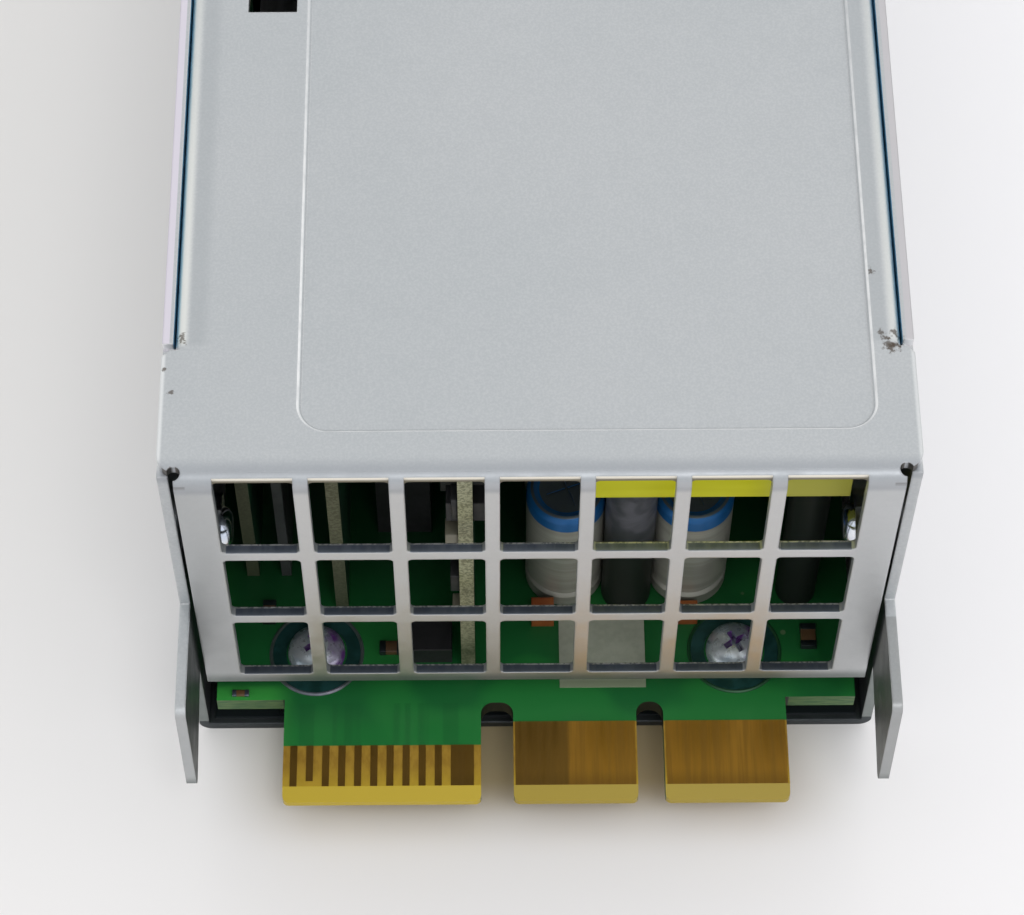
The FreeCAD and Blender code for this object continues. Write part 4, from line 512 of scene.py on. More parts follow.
def bright_steel():
    """Nickel plated wire, drawn along its length."""
    wire = Shader("nickel_steel", (0.42, 0.425, 0.43), 0.26, metallic=1.0)
    wire.round_edges(0.1 * MM)
    drawn = wire.noise(1.0, 3, at=wire.stretched(700, 60, 700))
    wire.mottle(drawn, 0.35, 0.7, (0.385, 0.39, 0.395), (0.455, 0.46, 0.465))
    wire.roughness(wire.noise(900, 3), 0.25, 0.33)
    wire.bump(drawn, 0.003 * MM, 0.06)
    return wire.material


def solder_mask():
    """Green board: mask over copper, bare golden glass cloth on the card edge."""
    board = Shader("solder_mask", (0.012, 0.135, 0.03), 0.38, Coat_Weight=0.08, Coat_Roughness=0.25,
                   Specular_IOR_Level=0.28)
    across, along, _ = board.axes()
    signal_side, power_side = board.below(across, FIRST_GAP), board.above(across, FIRST_GAP)
    pour = board.noise(120, 2, 0.4)
    board.mottle(pour, 0.44, 0.56, (0.01, 0.125, 0.03), (0.016, 0.175, 0.036))
    # Painted light: the mask is a brighter green out in front of the grille.
    board.paint(board.between(along, GRILLE - 0.5 * MM, GRILLE - 3.5 * MM), (0.012, 0.18, 0.034), 0.8)
    runs = board.between(board.noise(1.0, 0, at=board.stretched(1150, 12, 400)), 0.44, 0.56, 0.0, 0.35)
    lines = board.both(board.below(along, GRILLE - 0.6 * MM), signal_side, runs)
    board.paint(lines, (0.007, 0.1, 0.024))
    # Painted light on the board's left shoulder.
    left_shoulder_light = board.both(
        board.between(across, -18.8 * MM, -21.6 * MM, 0.0, 0.9),
        board.below(along, GRILLE + 1.0 * MM, 0.5 * MM),
    )
    board.paint(left_shoulder_light, (0.045, 0.34, 0.055))
    board.paint(board.between(board.scattered(230), 0.06, 0.045), (0.16, 0.22, 0.12), 0.6)
    # Painted shade deeper inside, behind the grille.
    inward_shade = board.between(along, GRILLE + 3 * MM, GRILLE + 15 * MM)
    board.paint(inward_shade, (0.003, 0.018, 0.0075), 0.8)
    # Bare cloth on the tongues, brighter on the bevel that leads them into the connector.
    signal = board.both(board.below(along, GRILLE - 4.3 * MM), signal_side)
    power = board.both(board.below(along, GRILLE - 2.3 * MM), power_side)
    weave = board.between(board.noise(1.0, 2, at=board.stretched(1600, 900, 1600)), 0.35, 0.65)
    cloth = board.mix(weave, (0.3, 0.17, 0.018), (0.38, 0.225, 0.026))
    outwards = board.between(along, GRILLE - 5.5 * MM, GRILLE - 8.0 * MM, 0.0, 0.7)
    cloth = board.mix(outwards, cloth, (0.5, 0.34, 0.024))
    board.paint(board.maths("MAXIMUM", signal, power), cloth)
    bevel = board.below(along, BOARD_TIP + 1.17 * MM, 0.03 * MM)
    board.paint(bevel, board.mix(signal_side, (0.335, 0.24, 0.01), (0.46, 0.33, 0.008)))
    # The board's cut sides show its layers, and are in painted shade in the notches between the tongues.
    layers = board.between(board.noise(1.0, 2, at=board.stretched(700, 700, 4200)), 0.35, 0.65)
    edge = board.mix(layers, (0.03, 0.095, 0.026), (0.08, 0.15, 0.045))
    shoulder = board.above(board.unsigned(across), 20.2 * MM)
    notch_shade = board.both(board.above(along, GRILLE - 2.4 * MM), board.between(shoulder, 1.0, 0.0))
    edge = board.mix(notch_shade, edge, (0.006, 0.01, 0.006))
    upright = board.between(board.unsigned(board.facing()[2]), 0.5, 0.35)
    board.paint(board.both(upright, board.above(along, BOARD_TIP + 0.3 * MM)), edge)
    board.bump(pour, 0.02 * MM, 0.4)
    return board.material


def glass_board():
    """Small upright boards: mask on the faces, pale speckled glass cloth on the cut edges, in painted shade
    further in and lower down.
    """
    card = Shader("card_board", (0.02, 0.1, 0.05), 0.45)
    _, along, height = card.axes()
    weave = card.noise(1.0, 3, 0.7, at=card.stretched(4200, 4200, 4800))
    pour = card.between(card.noise(260, 2), 0.46, 0.54)
    face = card.mix(pour, (0.004, 0.036, 0.016), (0.008, 0.06, 0.024))
    card.mottle(weave, 0.4, 0.6, (0.14, 0.14, 0.07), (0.34, 0.34, 0.21))
    # Painted shade further behind the grille and lower down.
    card.paint(card.between(along, GRILLE + 3 * MM, GRILLE + 11 * MM), (0.045, 0.048, 0.026), 0.86)
    card.paint(card.between(height, 20 * MM, 8 * MM), (0.07, 0.085, 0.05), 0.6)
    card.paint(card.between(card.unsigned(card.facing()[0]), 0.6, 0.9), face)
    card.bump(weave, 0.02 * MM, 0.3)
    return card.material


def contact(name, first, second):
    """Hard gold, browner on the left as painted shade and browner at the tips, with fine wiping marks along
    the contacts.
    """
    metal = Shader(name, second, 0.34, metallic=0.75)
    across, along, _ = metal.axes()
    brown = tuple(0.6 * part for part in first)
    wipe = metal.noise(1.0, 3, at=metal.stretched(2200, 90, 1000))
    # Painted shade: the darker, browner gold on the left.
    metal.ground(metal.below(across, 2.5 * MM, 0.15 * MM), second, first)
    metal.paint(metal.between(wipe, 0.4, 0.65), brown, 0.35)
    metal.paint(metal.between(along, BOARD_TIP + 2.6 * MM, BOARD_TIP + 1.2 * MM), brown, 0.45)
    metal.roughness(wipe, 0.28, 0.44)
    metal.bump(wipe, 0.006 * MM, 0.4)
    return metal.material


def moulded(name, low, high, roughness=0.5, grain=900):
    """Moulded or potted plastic: slight mottling and a fine skin."""
    plastic = Shader(name, high, roughness)
    plastic.round_edges(0.15 * MM)
    plastic.ground(plastic.between(plastic.noise(160, 3), 0.35, 0.65), low, high)
    skin = plastic.noise(grain, 3)
    plastic.roughness(skin, roughness - 0.07, roughness + 0.07)
    plastic.bump(skin, 0.015 * MM, 0.5)
    return plastic.material


def ferrite():
    """Sintered cores: near black, gritty."""
    core = Shader("ferrite", (0.022, 0.022, 0.025), 0.55, metallic=0.25)
    core.round_edges(0.2 * MM)
    grit = core.noise(2400, 3)
    core.mottle(grit, 0.4, 0.62, (0.016, 0.016, 0.018), (0.05, 0.05, 0.054))
    core.bump(grit, 0.02 * MM, 0.7)
    return core.material


def tape():
    """Yellow polyester tape: lap lines across the winding, in painted shade at the right end."""
    film = Shader("yellow_tape", (0.6, 0.58, 0.04), 0.42, Coat_Weight=0.05, Coat_Roughness=0.3,
                  Specular_IOR_Level=0.12)
    lap = film.noise(1.0, 2, at=film.stretched(60, 60, 420))
    film.mottle(lap, 0.35, 0.65, (0.575, 0.565, 0.012), (0.64, 0.63, 0.022))
    # Painted shade at the right end, where the winding rounds off.
    film.paint(film.between(film.axes()[0], 15 * MM, 19 * MM), (0.4, 0.385, 0.075), 0.8)
    film.bump(lap, 0.05 * MM, 0.35)
    film.bump(film.noise(900, 2), 0.01 * MM, 0.4)
    return film.material


def copper():
    """Enamelled wire: its turns show as a slight mottling."""
    wire = Shader("enamelled_copper", (0.5, 0.17, 0.06), 0.28, metallic=0.85, Coat_Weight=0.5)
    turns = wire.noise(700, 2)
    wire.mottle(turns, 0.35, 0.65, (0.36, 0.11, 0.035), (0.58, 0.23, 0.09))
    wire.bump(turns, 0.03 * MM, 0.4)
    return wire.material


def drawn_can():
    """Aluminium cans: pale sides, a blue band under the rim, grey tops."""
    can = Shader("capacitor_can", (0.72, 0.74, 0.76), 0.36, metallic=0.35)
    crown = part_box("output_capacitors")[1].z
    height = can.axes()[2]
    rings = can.noise(1.0, 2, at=can.stretched(40, 40, 1800))
    can.mottle(rings, 0.35, 0.65, (0.285, 0.285, 0.245), (0.35, 0.35, 0.305))
    can.paint(can.above(height, crown - 1.6 * MM), (0.01, 0.115, 0.33))
    top = can.both(can.above(height, crown - 0.55 * MM), can.between(can.facing()[2], 0.9, 0.98))
    can.paint(top, (0.07, 0.09, 0.105))
    can.roughness(rings, 0.28, 0.44)
    can.bump(rings, 0.01 * MM, 0.3)
    return can.material


def aluminium():
    """Bare sheet and bar, drawn along the supply."""
    metal = Shader("plain_aluminium", (0.6, 0.61, 0.62), 0.36, metallic=0.95)
    metal.round_edges(0.12 * MM)
    drawn = metal.noise(1.0, 3, at=metal.stretched(1500, 60, 1500))
    metal.mottle(drawn, 0.3, 0.7, (0.52, 0.53, 0.54), (0.68, 0.69, 0.7))
    metal.bump(drawn, 0.01 * MM, 0.4)
    return metal.material


def paper():
    """Blank label, shaded at the end that looks out under the grille."""
    sheet = Shader("blank_label", (0.4, 0.42, 0.34), 0.55)
    fibre = sheet.noise(1700, 4)
    sheet.mottle(fibre, 0.35, 0.65, (0.345, 0.37, 0.295), (0.39, 0.415, 0.335))
    end = sheet.between(sheet.axes()[1], GRILLE + 1.7 * MM, GRILLE + 1.1 * MM)
    sheet.paint(end, (0.225, 0.27, 0.175))
    sheet.bump(fibre, 0.01 * MM, 0.4)
    return sheet.material


def clear(name, tint):
    """Slightly hazy glass or lens."""
    lens = Shader(name, tint, 0.12, Transmission_Weight=0.85, IOR=1.49)
    haze = lens.noise(900, 2)
    lens.roughness(haze, 0.08, 0.22)
    lens.bump(haze, 0.01 * MM, 0.2)
    return lens.material


def insulating_film():
    """Milky polyester film, in painted shade at the end that lies under the board's shoulders."""
    film = Shader("insulating_film", (0.52, 0.5, 0.42), 0.4, Specular_IOR_Level=0.2)
    cloud = film.noise(500, 3)
    film.mottle(cloud, 0.35, 0.65, (0.46, 0.44, 0.36), (0.58, 0.56, 0.47))
    # Painted shade, near black, at the end under the board's shoulders.
    end = film.between(film.axes()[1], GRILLE + 16 * MM, GRILLE + 8 * MM)
    film.paint(end, (0.012, 0.016, 0.018))
    film.bump(cloud, 0.015 * MM, 0.4)
    return film.material


def choke_columns():
    """Varnished bobbin columns, the right one in the dark."""
    column = Shader("bobbin_column", (0.075, 0.08, 0.09), 0.5, Specular_IOR_Level=0.15)
    across, _, height = column.axes()
    swirl = column.noise(220, 3, 0.5, distortion=2.0)
    column.mottle(swirl, 0.35, 0.65, (0.055, 0.06, 0.068), (0.11, 0.112, 0.13))
    # Painted shade on the right column and on the lower part of both.
    dark = column.maths("MAXIMUM", column.above(across, 15 * MM), column.between(height, 21 * MM, 14 * MM))
    column.paint(dark, (0.01, 0.014, 0.011))
    column.bump(swirl, 0.02 * MM, 0.3)
    return column.material


ZINC = bright_zinc()
BLACK = moulded("black_moulding", (0.012, 0.012, 0.013), (0.022, 0.022, 0.024), 0.46)
CAN = drawn_can()
FINISHES = {
    "sheet_steel": galvanised(),
    "zinc": ZINC,
    "spring_steel": bright_steel(),
    "film": insulating_film(),
    "green_board": solder_mask(),
    "gold": contact("gold_contact", (0.23, 0.125, 0.02), (0.42, 0.215, 0.026)),
    "label": paper(),
    "aluminium": aluminium(),
    "black_moulding": BLACK,
    "can_aluminium": CAN,
    "orange_moulding": moulded("orange_moulding", (0.2, 0.045, 0.012), (0.33, 0.1, 0.022), 0.4),
    "ferrite": ferrite(),
    "yellow_tape": tape(),
    "copper": copper(),
    "grey_moulding": moulded("grey_moulding", (0.15, 0.155, 0.165), (0.21, 0.215, 0.225), 0.5),
    "blue_moulding": moulded("blue_moulding", (0.015, 0.05, 0.22), (0.03, 0.08, 0.32), 0.35),
    "clear_glass": clear("clear_glass", (0.8, 0.9, 0.85)),
    "wire_cover": moulded("wire_cover", (0.02, 0.02, 0.022), (0.035, 0.035, 0.038), 0.42, 1400),
    "green_moulding": moulded("green_moulding", (0.01, 0.17, 0.055), (0.02, 0.24, 0.08), 0.42),
}
OWN_FINISH = {
    "output_choke_legs": choke_columns(),
    "heat_spreader": moulded("anodised_spreader", (0.03, 0.032, 0.032), (0.055, 0.057, 0.058), 0.4),
    "signal_fingers": contact("brown_contact", (0.175, 0.095, 0.013), (0.175, 0.095, 0.013)),
    **dict.fromkeys(("control_card", "driver_card", "rectifier_card"), glass_board()),
}


def finish_nodes():
    """Each CAD node gets its own finish, or that of its slot in the record."""
    slots = {item["node"]: item["material_slot"] for item in frame["record"]["subparts"]}
    for name, node in frame["nodes"].items():
        node.data.materials.clear()
        node.data.materials.append(OWN_FINISH.get(name) or FINISHES[slots[name]])


finish_nodes()


# ---- mesh helpers ----------------------------------------------------------------------

UP = Vector((0, 0, 1))


def standing(at, outward=UP):
    """Placement whose own Z runs along a direction, with its origin at a point."""
    turn = outward.to_track_quat("Z", "Y").to_matrix().to_4x4()
    return Matrix.Translation(at) @ turn


def round_z(angle):
    """Turn about the placement's own Z, in radians."""
    return Matrix.Rotation(angle, 4, "Z")


def on_circle(radius, angle, height):
    """Point in metres at a radius and a height in millimetres."""
    return Vector((radius * math.cos(angle), radius * math.sin(angle), height)) * MM


def turned(mesh, profile, place, steps=40):
    """Solid of revolution: (radius, height) pairs in millimetres, from the lower to the upper pole."""
    rings = []
    for radius, height in profile:
        if radius == 0:
            rings.append([mesh.verts.new(place @ (UP * height * MM))])
            continue
        angles = [math.tau * step / steps for step in range(steps)]
        rings.append([mesh.verts.new(place @ on_circle(radius, angle, height)) for angle in angles])
    for lower, upper in zip(rings, rings[1:]):
        for step in range(steps):
            after = (step + 1) % steps
            if len(lower) == 1:
                mesh.faces.new((lower[0], upper[after], upper[step]))
            elif len(upper) == 1:
                mesh.faces.new((lower[step], lower[after], upper[0]))
            else:
                mesh.faces.new((lower[step], lower[after], upper[after], upper[step]))


def prism(mesh, outline, low, high, place, shrink=1.0):
    """Outline in millimetres raised from one height to another, smaller at the lower end."""
    lower = [mesh.verts.new(place @ (Vector((x * shrink, y * shrink, low)) * MM)) for x, y in outline]
    upper = [mesh.verts.new(place @ (Vector((x, y, high)) * MM)) for x, y in outline]
    count = len(outline)
    mesh.faces.new(list(reversed(lower)))
    mesh.faces.new(upper)
    for step in range(count):
        after = (step + 1) % count
        mesh.faces.new((lower[step], lower[after], upper[after], upper[step]))


def plus(half, reach):
    """Outline of a cross with four equal arms."""
    quarter = [(reach, -half), (reach, half), (half, half)]
    points = []
    for turn in range(4):
        for x, y in quarter:
            for _ in range(turn):
                x, y = -y, x
            points.append((x, y))
    return points


def block(mesh, low, high, bevel):
    """Box between two corners in metres, its edges rounded off by a bevel in metres."""
    corners = [Vector((x, y, z)) for z in (low.z, high.z) for y in (low.y, high.y) for x in (low.x, high.x)]
    verts = [mesh.verts.new(corner) for corner in corners]
    faces = [(0, 2, 3, 1), (4, 5, 7, 6), (0, 1, 5, 4), (2, 6, 7, 3), (0, 4, 6, 2), (1, 3, 7, 5)]
    made = [mesh.faces.new([verts[i] for i in face]) for face in faces]
    edges = list({edge for face in made for edge in face.edges})
    bmesh.ops.bevel(mesh, geom=edges, offset=bevel, segments=2, affect="EDGES", profile=0.5)


def as_mesh(name, shape):
    """Mesh of a shape, with its faces turned outwards; frees the shape."""
    mesh = bpy.data.meshes.new(name)
    bmesh.ops.recalc_face_normals(shape, faces=shape.faces)
    shape.to_mesh(mesh)
    shape.free()
    return mesh


def welded(name, shape):
    """Mesh of a ring, whose profile ends where it began."""
    bmesh.ops.remove_doubles(shape, verts=shape.verts, dist=WELD)
    return as_mesh(name, shape)


def carved(name, shape, cutter):
    """Mesh of a shape with the cutter's shape taken out of it."""
    body = bpy.data.objects.new(name, as_mesh(name, shape))
    tool = bpy.data.objects.new(name + "_tool", as_mesh(name + "_tool", cutter))
    for item in (body, tool):
        bpy.context.collection.objects.link(item)
    cut = body.modifiers.new("cut", "BOOLEAN")
    cut.operation = "DIFFERENCE"
    cut.solver = "EXACT"
    cut.object = tool
    view = bpy.context.evaluated_depsgraph_get()
    mesh = bpy.data.meshes.new_from_object(body.evaluated_get(view))
    mesh.name = name
    bpy.data.objects.remove(body)
    bpy.data.objects.remove(tool)
    return mesh


def place_piece(name, mesh, finish, body="supply", replaced=()):
    """Puts a mesh on a body, smooth but for its creases, in place of CAD nodes where it has any."""
    mesh.materials.clear()
    mesh.materials.append(finish)
    for polygon in mesh.polygons:
        polygon.use_smooth = True
    mesh.set_sharp_from_angle(angle=math.radians(32))
    piece = bpy.data.objects.new(name, mesh)
    bpy.context.collection.objects.link(piece)
    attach(piece, body)
    if replaced:
        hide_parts(*replaced)


# ---- pieces ----------------------------------------------------------------------------

def domed_screws():
    """Pan-head board screws with a cross recess, each on a dark ring pad with a raised rim."""
    shank, brim = 1.25, 0.25
    pad_in, pad_out, rim_out = 2.45, 3.52, 3.82
    heads, recesses, pads, rims = bmesh.new(), bmesh.new(), bmesh.new(), bmesh.new()
    for low, high in solids("board_screws"):
        middle = (low + high) / 2
        radius = (high.x - low.x) / 2 / MM
        rise = (high.z - BOARD_TOP) / MM
        depth = (BOARD_TOP - low.z) / MM
        place = standing(Vector((middle.x, middle.y, BOARD_TOP)))
        profile = [
            (0, -depth), (shank - 0.15, -depth), (shank, -depth + 0.2), (shank, 0.0),
            (radius, 0.0), (radius, brim),
        ]
        for step in range(1, 7):
            angle = math.radians(90 * step / 7)
            profile.append((radius * math.cos(angle), brim + (rise - brim) * math.sin(angle)))
        turned(heads, [*profile, (0, rise)], place)
        prism(recesses, plus(0.3, 1.25), rise - 1.05, rise + 0.4, place @ round_z(0.5), 0.45)
        turned(pads, [
            (pad_in, 0.0), (pad_out, 0.0), (pad_out, 0.05), (pad_in, 0.05), (pad_in, 0.0),
        ], place, 56)
        turned(rims, [
            (pad_out, 0.0), (rim_out, 0.0), (rim_out - 0.02, 0.07), (rim_out - 0.15, 0.12),
            (pad_out + 0.02, 0.07), (pad_out, 0.0),
        ], place, 56)
    mesh = carved("board_screw_heads", heads, recesses)
    place_piece("board_screw_heads", mesh, board_screw(), replaced=("board_screws",))
    place_piece("screw_ring_pads", welded("screw_ring_pads", pads), ring_pad())
    place_piece("screw_ring_rims", welded("screw_ring_rims", rims), ring_rim())


def flush_screws(name):
    """Countersunk screws of the side walls: flat heads with a cross recess and a rounded tip."""
    heads, recesses = bmesh.new(), bmesh.new()
    for low, high in solids(name):
        middle = (low + high) / 2
        side = 1 if middle.x > 0 else -1
        outer = high.x if side > 0 else low.x
        place = standing(Vector((outer, middle.y, middle.z)), Vector((side, 0, 0)))
        head = (high.z - low.z) / 2 / MM
        length = (high.x - low.x) / MM
        shank = head - 0.9
        turned(heads, [
            (0, -length), (shank - 0.6, -length + 0.06), (shank - 0.25, -length + 0.3),
            (shank, -length + 0.7), (shank, -1.0), (head, -0.06), (head - 0.04, 0.0), (0, 0.0),
        ], place)
        driven = round_z(0.3 + 2.1 * middle.y / MM)   # no two screws end at one angle
        prism(recesses, plus(0.24, 0.95), -0.8, 0.3, place @ driven, 0.5)
    title = name.replace("screws", "screw_heads")
    place_piece(title, carved(title, heads, recesses), ZINC, replaced=(name,))


def vented_cans():
    """Output capacitors: rolled groove above the base, rounded rim and a scored pressure vent."""
    groove, sunk = 0.25, 0.2
    cans, scores = bmesh.new(), bmesh.new()
    for low, high in solids("output_capacitors"):
        middle = (low + high) / 2
        radius = (high.x - low.x) / 2 / MM
        tall = (high.z - low.z) / MM
        place = standing(Vector((middle.x, middle.y, low.z)))
        turned(cans, [
            (0, 0), (radius - 0.3, 0), (radius, 0.25), (radius, 1.5), (radius - groove, 1.8),
            (radius - groove, 2.1), (radius, 2.4), (radius, tall - 0.55), (radius - 0.1, tall - 0.25),
            (radius - 0.32, tall - 0.05), (radius - 0.55, tall), (radius - 0.85, tall - 0.12),
            (radius - 1.0, tall - sunk), (0, tall - sunk),
        ], place, 48)
        prism(scores, plus(0.11, radius - 1.5), tall - 0.34, tall + 0.3, place @ round_z(0.35))
    mesh = carved("capacitor_cans", cans, scores)
    place_piece("capacitor_cans", mesh, CAN, replaced=("output_capacitors",))


def small_parts():
    """Surface parts between the grille and the cards, with tinned ends."""
    bodies, ends = bmesh.new(), bmesh.new()
    places = [   # across, behind the grille, then width, depth and height
        (-23.6, 0.3, 1.3, 0.5, 0.3), (-11.6, 4.2, 1.8, 1.0, 0.6), (-9.0, 6.8, 1.6, 0.8, 0.5),
        (-2.6, 7.2, 1.6, 0.8, 0.5), (11.2, 7.2, 1.6, 0.8, 0.5), (22.0, 5.0, 1.2, 2.0, 0.6),
        (-21.5, 7.5, 1.0, 1.9, 0.6),
    ]
    for x, back, wide, deep, tall in places:
        half = Vector((wide / 2, deep / 2, 0)) * MM
        at = Vector((x * MM, GRILLE + back * MM, BOARD_TOP))
        lift = Vector((0, 0, tall * MM))
        block(bodies, at - half, at + half + lift, 0.06 * MM)
        across = wide >= deep
        for side in (-1, 1):
            cap = Vector((wide * 0.14, deep * 0.53, 0) if across else (wide * 0.53, deep * 0.14, 0)) * MM
            shift = Vector((side * wide * 0.38, 0, 0) if across else (0, side * deep * 0.38, 0)) * MM
            block(ends, at + shift - cap, at + shift + cap + lift * 1.03, 0.04 * MM)
    brown = moulded("ceramic_part", (0.085, 0.045, 0.02), (0.13, 0.068, 0.028), 0.4)
    place_piece("surface_parts", as_mesh("surface_parts", bodies), brown)
    place_piece("surface_part_ends", as_mesh("surface_part_ends", ends), tinned())


def card_parts():
    """Pale ceramic capacitors and black packages along the control card's front."""
    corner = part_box("control_card")[0]
    pale, dark = bmesh.new(), bmesh.new()
    rows = [   # height above the base, length, how far it stands out, shape
        (13.5, 1.6, 0.6, pale), (18.2, 2.4, 0.7, dark), (24.0, 3.2, 1.0, pale), (29.6, 2.8, 0.5, dark),
    ]
    for height, tall, proud, shape in rows:
        low = Vector((corner.x - proud * MM, corner.y + 0.5 * MM, height * MM))
        block(shape, low, Vector((corner.x, low.y + 1.5 * MM, (height + tall) * MM)), 0.08 * MM)
    ceramic = moulded("pale_ceramic", (0.15, 0.14, 0.1), (0.23, 0.215, 0.16), 0.4)
    place_piece("card_ceramics", as_mesh("card_ceramics", pale), ceramic)
    place_piece("card_packages", as_mesh("card_packages", dark), BLACK)


def ribbed_grip():
    """The bail's sleeve, with grooves for the fingers."""
    low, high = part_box("bail_grip")
    middle = (low + high) / 2
    radius = (high.z - low.z) / 2 / MM
    half = (high.x - low.x) / 2 / MM
    bore, chamfer, groove = radius - 1.2, 0.5, 0.3
    plain, grooves = 1.5, 12
    pitch = 2 * (half - plain) / grooves
    profile = [(bore, -half), (radius - chamfer, -half), (radius, -half + chamfer)]
    for number in range(grooves):
        start = -half + plain + number * pitch
        profile += [
            (radius, start), (radius, start + 0.45 * pitch), (radius - groove, start + 0.6 * pitch),
            (radius - groove, start + 0.85 * pitch), (radius, start + pitch),
        ]
    profile += [(radius, half - chamfer), (radius - chamfer, half), (bore, half), (bore, -half)]
    sleeve = bmesh.new()
    turned(sleeve, profile, standing(middle, Vector((1, 0, 0))), 32)
    mesh = welded("ribbed_grip", sleeve)
    place_piece("ribbed_grip", mesh, BLACK, "bail", ("bail_grip",))


def swept_rotor():
    """Fan rotor: a closed cup and seven cambered blades, less steep towards their tips."""
    low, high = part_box("fan_rotor")
    centre = Vector((0, low.y, (low.z + high.z) / 2))
    tip = (high.x - low.x) / 2 / MM
    length = (high.y - low.y) / MM
    hub, wall, shaft, blades, margin = 9.5, 1.0, 1.5, 7, 1.5
    place = standing(centre, Vector((0, 1, 0)))
    shape = bmesh.new()
    turned(shape, [
        (0, 0), (hub - 1.2, 0), (hub - 0.35, 0.35), (hub, 1.2), (hub, length), (hub - wall, length),
        (hub - wall, 1.6), (shaft, 1.6), (shaft, length - 1.8), (0, length - 1.8),
    ], place, 48)
    spans, chords = 6, 10
    root = hub - 0.4
    for blade in range(blades):
        sheet = {}
        for face in (0, 1):
            for out in range(spans + 1):
                share = out / spans
                radius = root + (tip - root) * share
                swing = 3.4 + 3.0 * share
                thick = 1.3 - 0.6 * share
                for step in range(chords + 1):
                    run = step / chords
                    camber = 1.3 * math.sin(math.pi * run)
                    body = 0.5 * thick * (0.25 + 0.75 * math.sin(math.pi * min(1.0, run + 0.08)))
                    side = swing * (2 * run - 1) + camber + (body if face else -body)
                    angle = math.tau * blade / blades + side / radius
                    height = margin + (length - 2 * margin) * run
                    sheet[face, out, step] = shape.verts.new(place @ on_circle(radius, angle, height))
        for face in (0, 1):
            for out in range(spans):
                for step in range(chords):
                    corners = ((out, step), (out + 1, step), (out + 1, step + 1), (out, step + 1))
                    shape.faces.new([sheet[face, *corner] for corner in corners])
        border = [(out, 0) for out in range(spans)] + [(spans, step) for step in range(chords)]
        border += [(out, chords) for out in range(spans, 0, -1)]
        border += [(0, step) for step in range(chords, 0, -1)]
        for first, second in zip(border, border[1:] + border[:1]):
            shape.faces.new([sheet[0, *first], sheet[0, *second], sheet[1, *second], sheet[1, *first]])
    mesh = as_mesh("swept_rotor", shape)
    place_piece("swept_rotor", mesh, BLACK, "rotor", ("fan_rotor",))


domed_screws()
flush_screws("cover_screws")
flush_screws("panel_screws")
vented_cans()
small_parts()
card_parts()
ribbed_grip()
swept_rotor()


# ---- stage -----------------------------------------------------------------------------

def make_floor():
    """Pale table, warmer on the left and cooler on the right, with painted light brighter on the right and
    a brown painted shadow under the card edge.
    """
    mesh = bpy.data.meshes.new("table_top")
    reach = 3.0
    corners = [(-reach, -reach, 0), (reach, -reach, 0), (reach, reach, 0), (-reach, reach, 0)]
    mesh.from_pydata(corners, [], [(0, 1, 2, 3)])
    floor = bpy.data.objects.new("table_top", mesh)
    bpy.context.collection.objects.link(floor)
    table = Shader("pale_table", (0.8, 0.8, 0.8), 0.6, Specular_IOR_Level=0.0)
    across, along, _ = table.axes()
    aside = table.unsigned(across)
    under = table.between(along, GRILLE + 4 * MM, GRILLE)
    # Painted light: brighter and cooler to the right, and more even towards the front.
    table.ground(table.between(across, -90 * MM, 90 * MM), (0.79, 0.775, 0.752), (0.985, 0.972, 0.99))
    table.paint(table.between(along, -60 * MM, -170 * MM), (0.885, 0.87, 0.87), 0.8)
    # Painted shadow under the card edge, brown with a painted reflection of the contacts.
    shade = table.both(
        table.between(along, GRILLE - 12 * MM, GRILLE - 5 * MM), under,
        table.between(aside, 27 * MM, 17 * MM),
    )
    table.paint(shade, (0.64, 0.57, 0.46), 0.6)
    # Painted deeper shadow nearer the supply, browner with the contacts' painted reflection.
    deep = table.both(
        table.between(along, GRILLE - 8.5 * MM, GRILLE - 4.5 * MM), under,
        table.between(aside, 21 * MM, 13 * MM),
    )
    table.paint(deep, (0.4, 0.31, 0.15), 0.85)
    table.bump(table.noise(60, 3), 0.05 * MM, 0.2)
    mesh.materials.append(table.material)


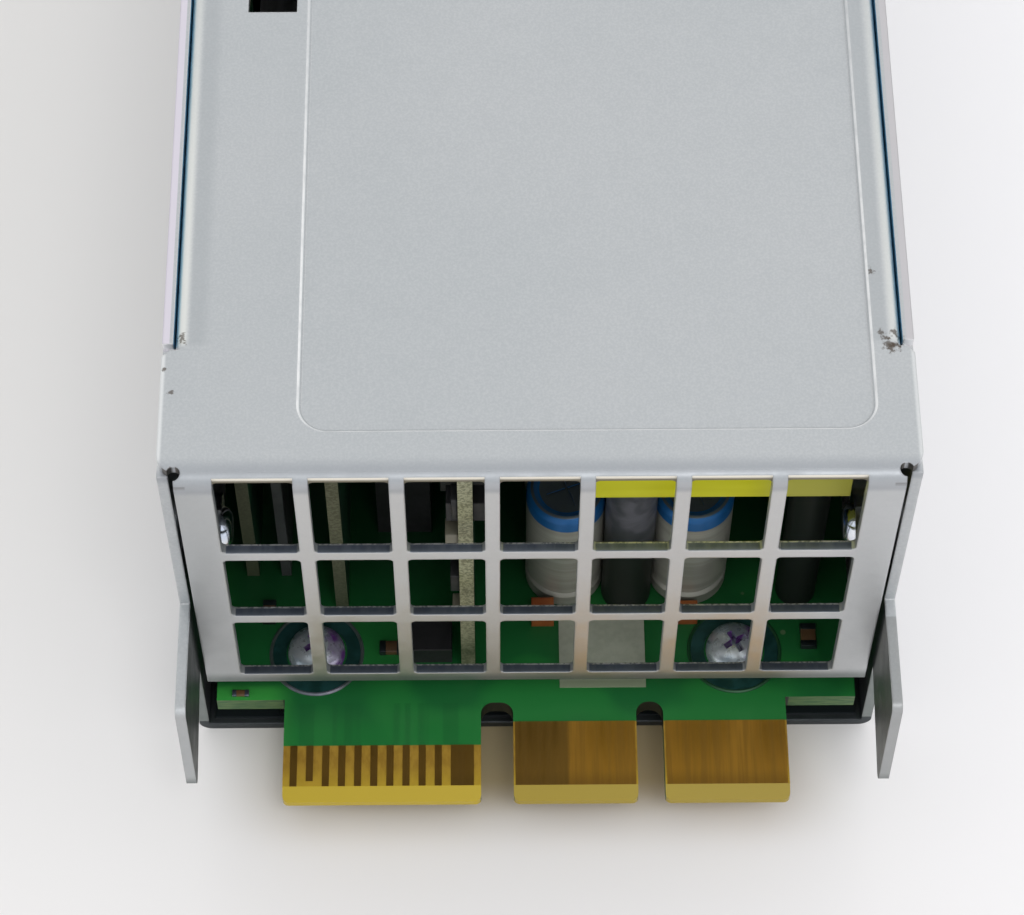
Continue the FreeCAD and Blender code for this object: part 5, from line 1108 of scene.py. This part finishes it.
def soft_light(name, location, target, size, power):
    """Square lamp that faces a point."""
    data = bpy.data.lights.new(name, "AREA")
    data.shape = "SQUARE"
    data.size = size
    data.energy = power
    lamp = bpy.data.objects.new(name, data)
    lamp.location = location
    lamp.rotation_euler = (Vector(target) - Vector(location)).to_track_quat("-Z", "Y").to_euler()
    bpy.context.collection.objects.link(lamp)


def make_light():
    """An even pale room, a little brighter on the right, and one lamp ahead of the connector end."""
    world = bpy.data.worlds.new("pale_room")
    bpy.context.scene.world = world
    world.use_nodes = True
    tree = world.node_tree
    background = tree.nodes["Background"]
    way = tree.nodes.new("ShaderNodeTexCoord")
    parts = tree.nodes.new("ShaderNodeSeparateXYZ")
    sweep = tree.nodes.new("ShaderNodeMapRange")
    for socket, value in (("From Min", -1.0), ("From Max", 1.0), ("To Min", 0.9), ("To Max", 1.1)):
        sweep.inputs[socket].default_value = value
    tree.links.new(way.outputs["Generated"], parts.inputs[0])
    tree.links.new(parts.outputs["X"], sweep.inputs["Value"])
    tree.links.new(sweep.outputs["Result"], background.inputs["Strength"])
    background.inputs["Color"].default_value = (0.985, 0.99, 1.0, 1)
    soft_light("window", (0.14, -0.44, 0.74), (0, -0.09, 0.02), 0.2, 0.75)


def make_camera():
    """The photograph's viewpoint: from above and in front of the connector end."""
    data = bpy.data.cameras.new("camera")
    data.sensor_fit = "HORIZONTAL"
    data.sensor_width = 36.0
    data.lens = 112.375
    data.clip_start = 0.01
    data.clip_end = 20
    elevation, yaw, roll = (math.radians(angle) for angle in (59.784, 0.731, -0.273))
    ahead = Vector((
        math.sin(yaw) * math.cos(elevation),
        math.cos(yaw) * math.cos(elevation),
        -math.sin(elevation),
    ))
    level_right = Vector((math.cos(yaw), -math.sin(yaw), 0))
    level_down = ahead.cross(level_right)
    right = math.cos(roll) * level_right + math.sin(roll) * level_down
    down = math.cos(roll) * level_down - math.sin(roll) * level_right
    turn = Matrix((right, -down, -ahead)).transposed()
    stand = Vector((-3.448 * MM, GRILLE - 112.103 * MM, 235.926 * MM))
    camera = bpy.data.objects.new("camera", data)
    camera.matrix_world = Matrix.Translation(stand) @ turn.to_4x4()
    bpy.context.collection.objects.link(camera)
    bpy.context.scene.camera = camera
    bpy.context.scene.view_settings.view_transform = "Standard"


make_floor()
make_light()
make_camera()
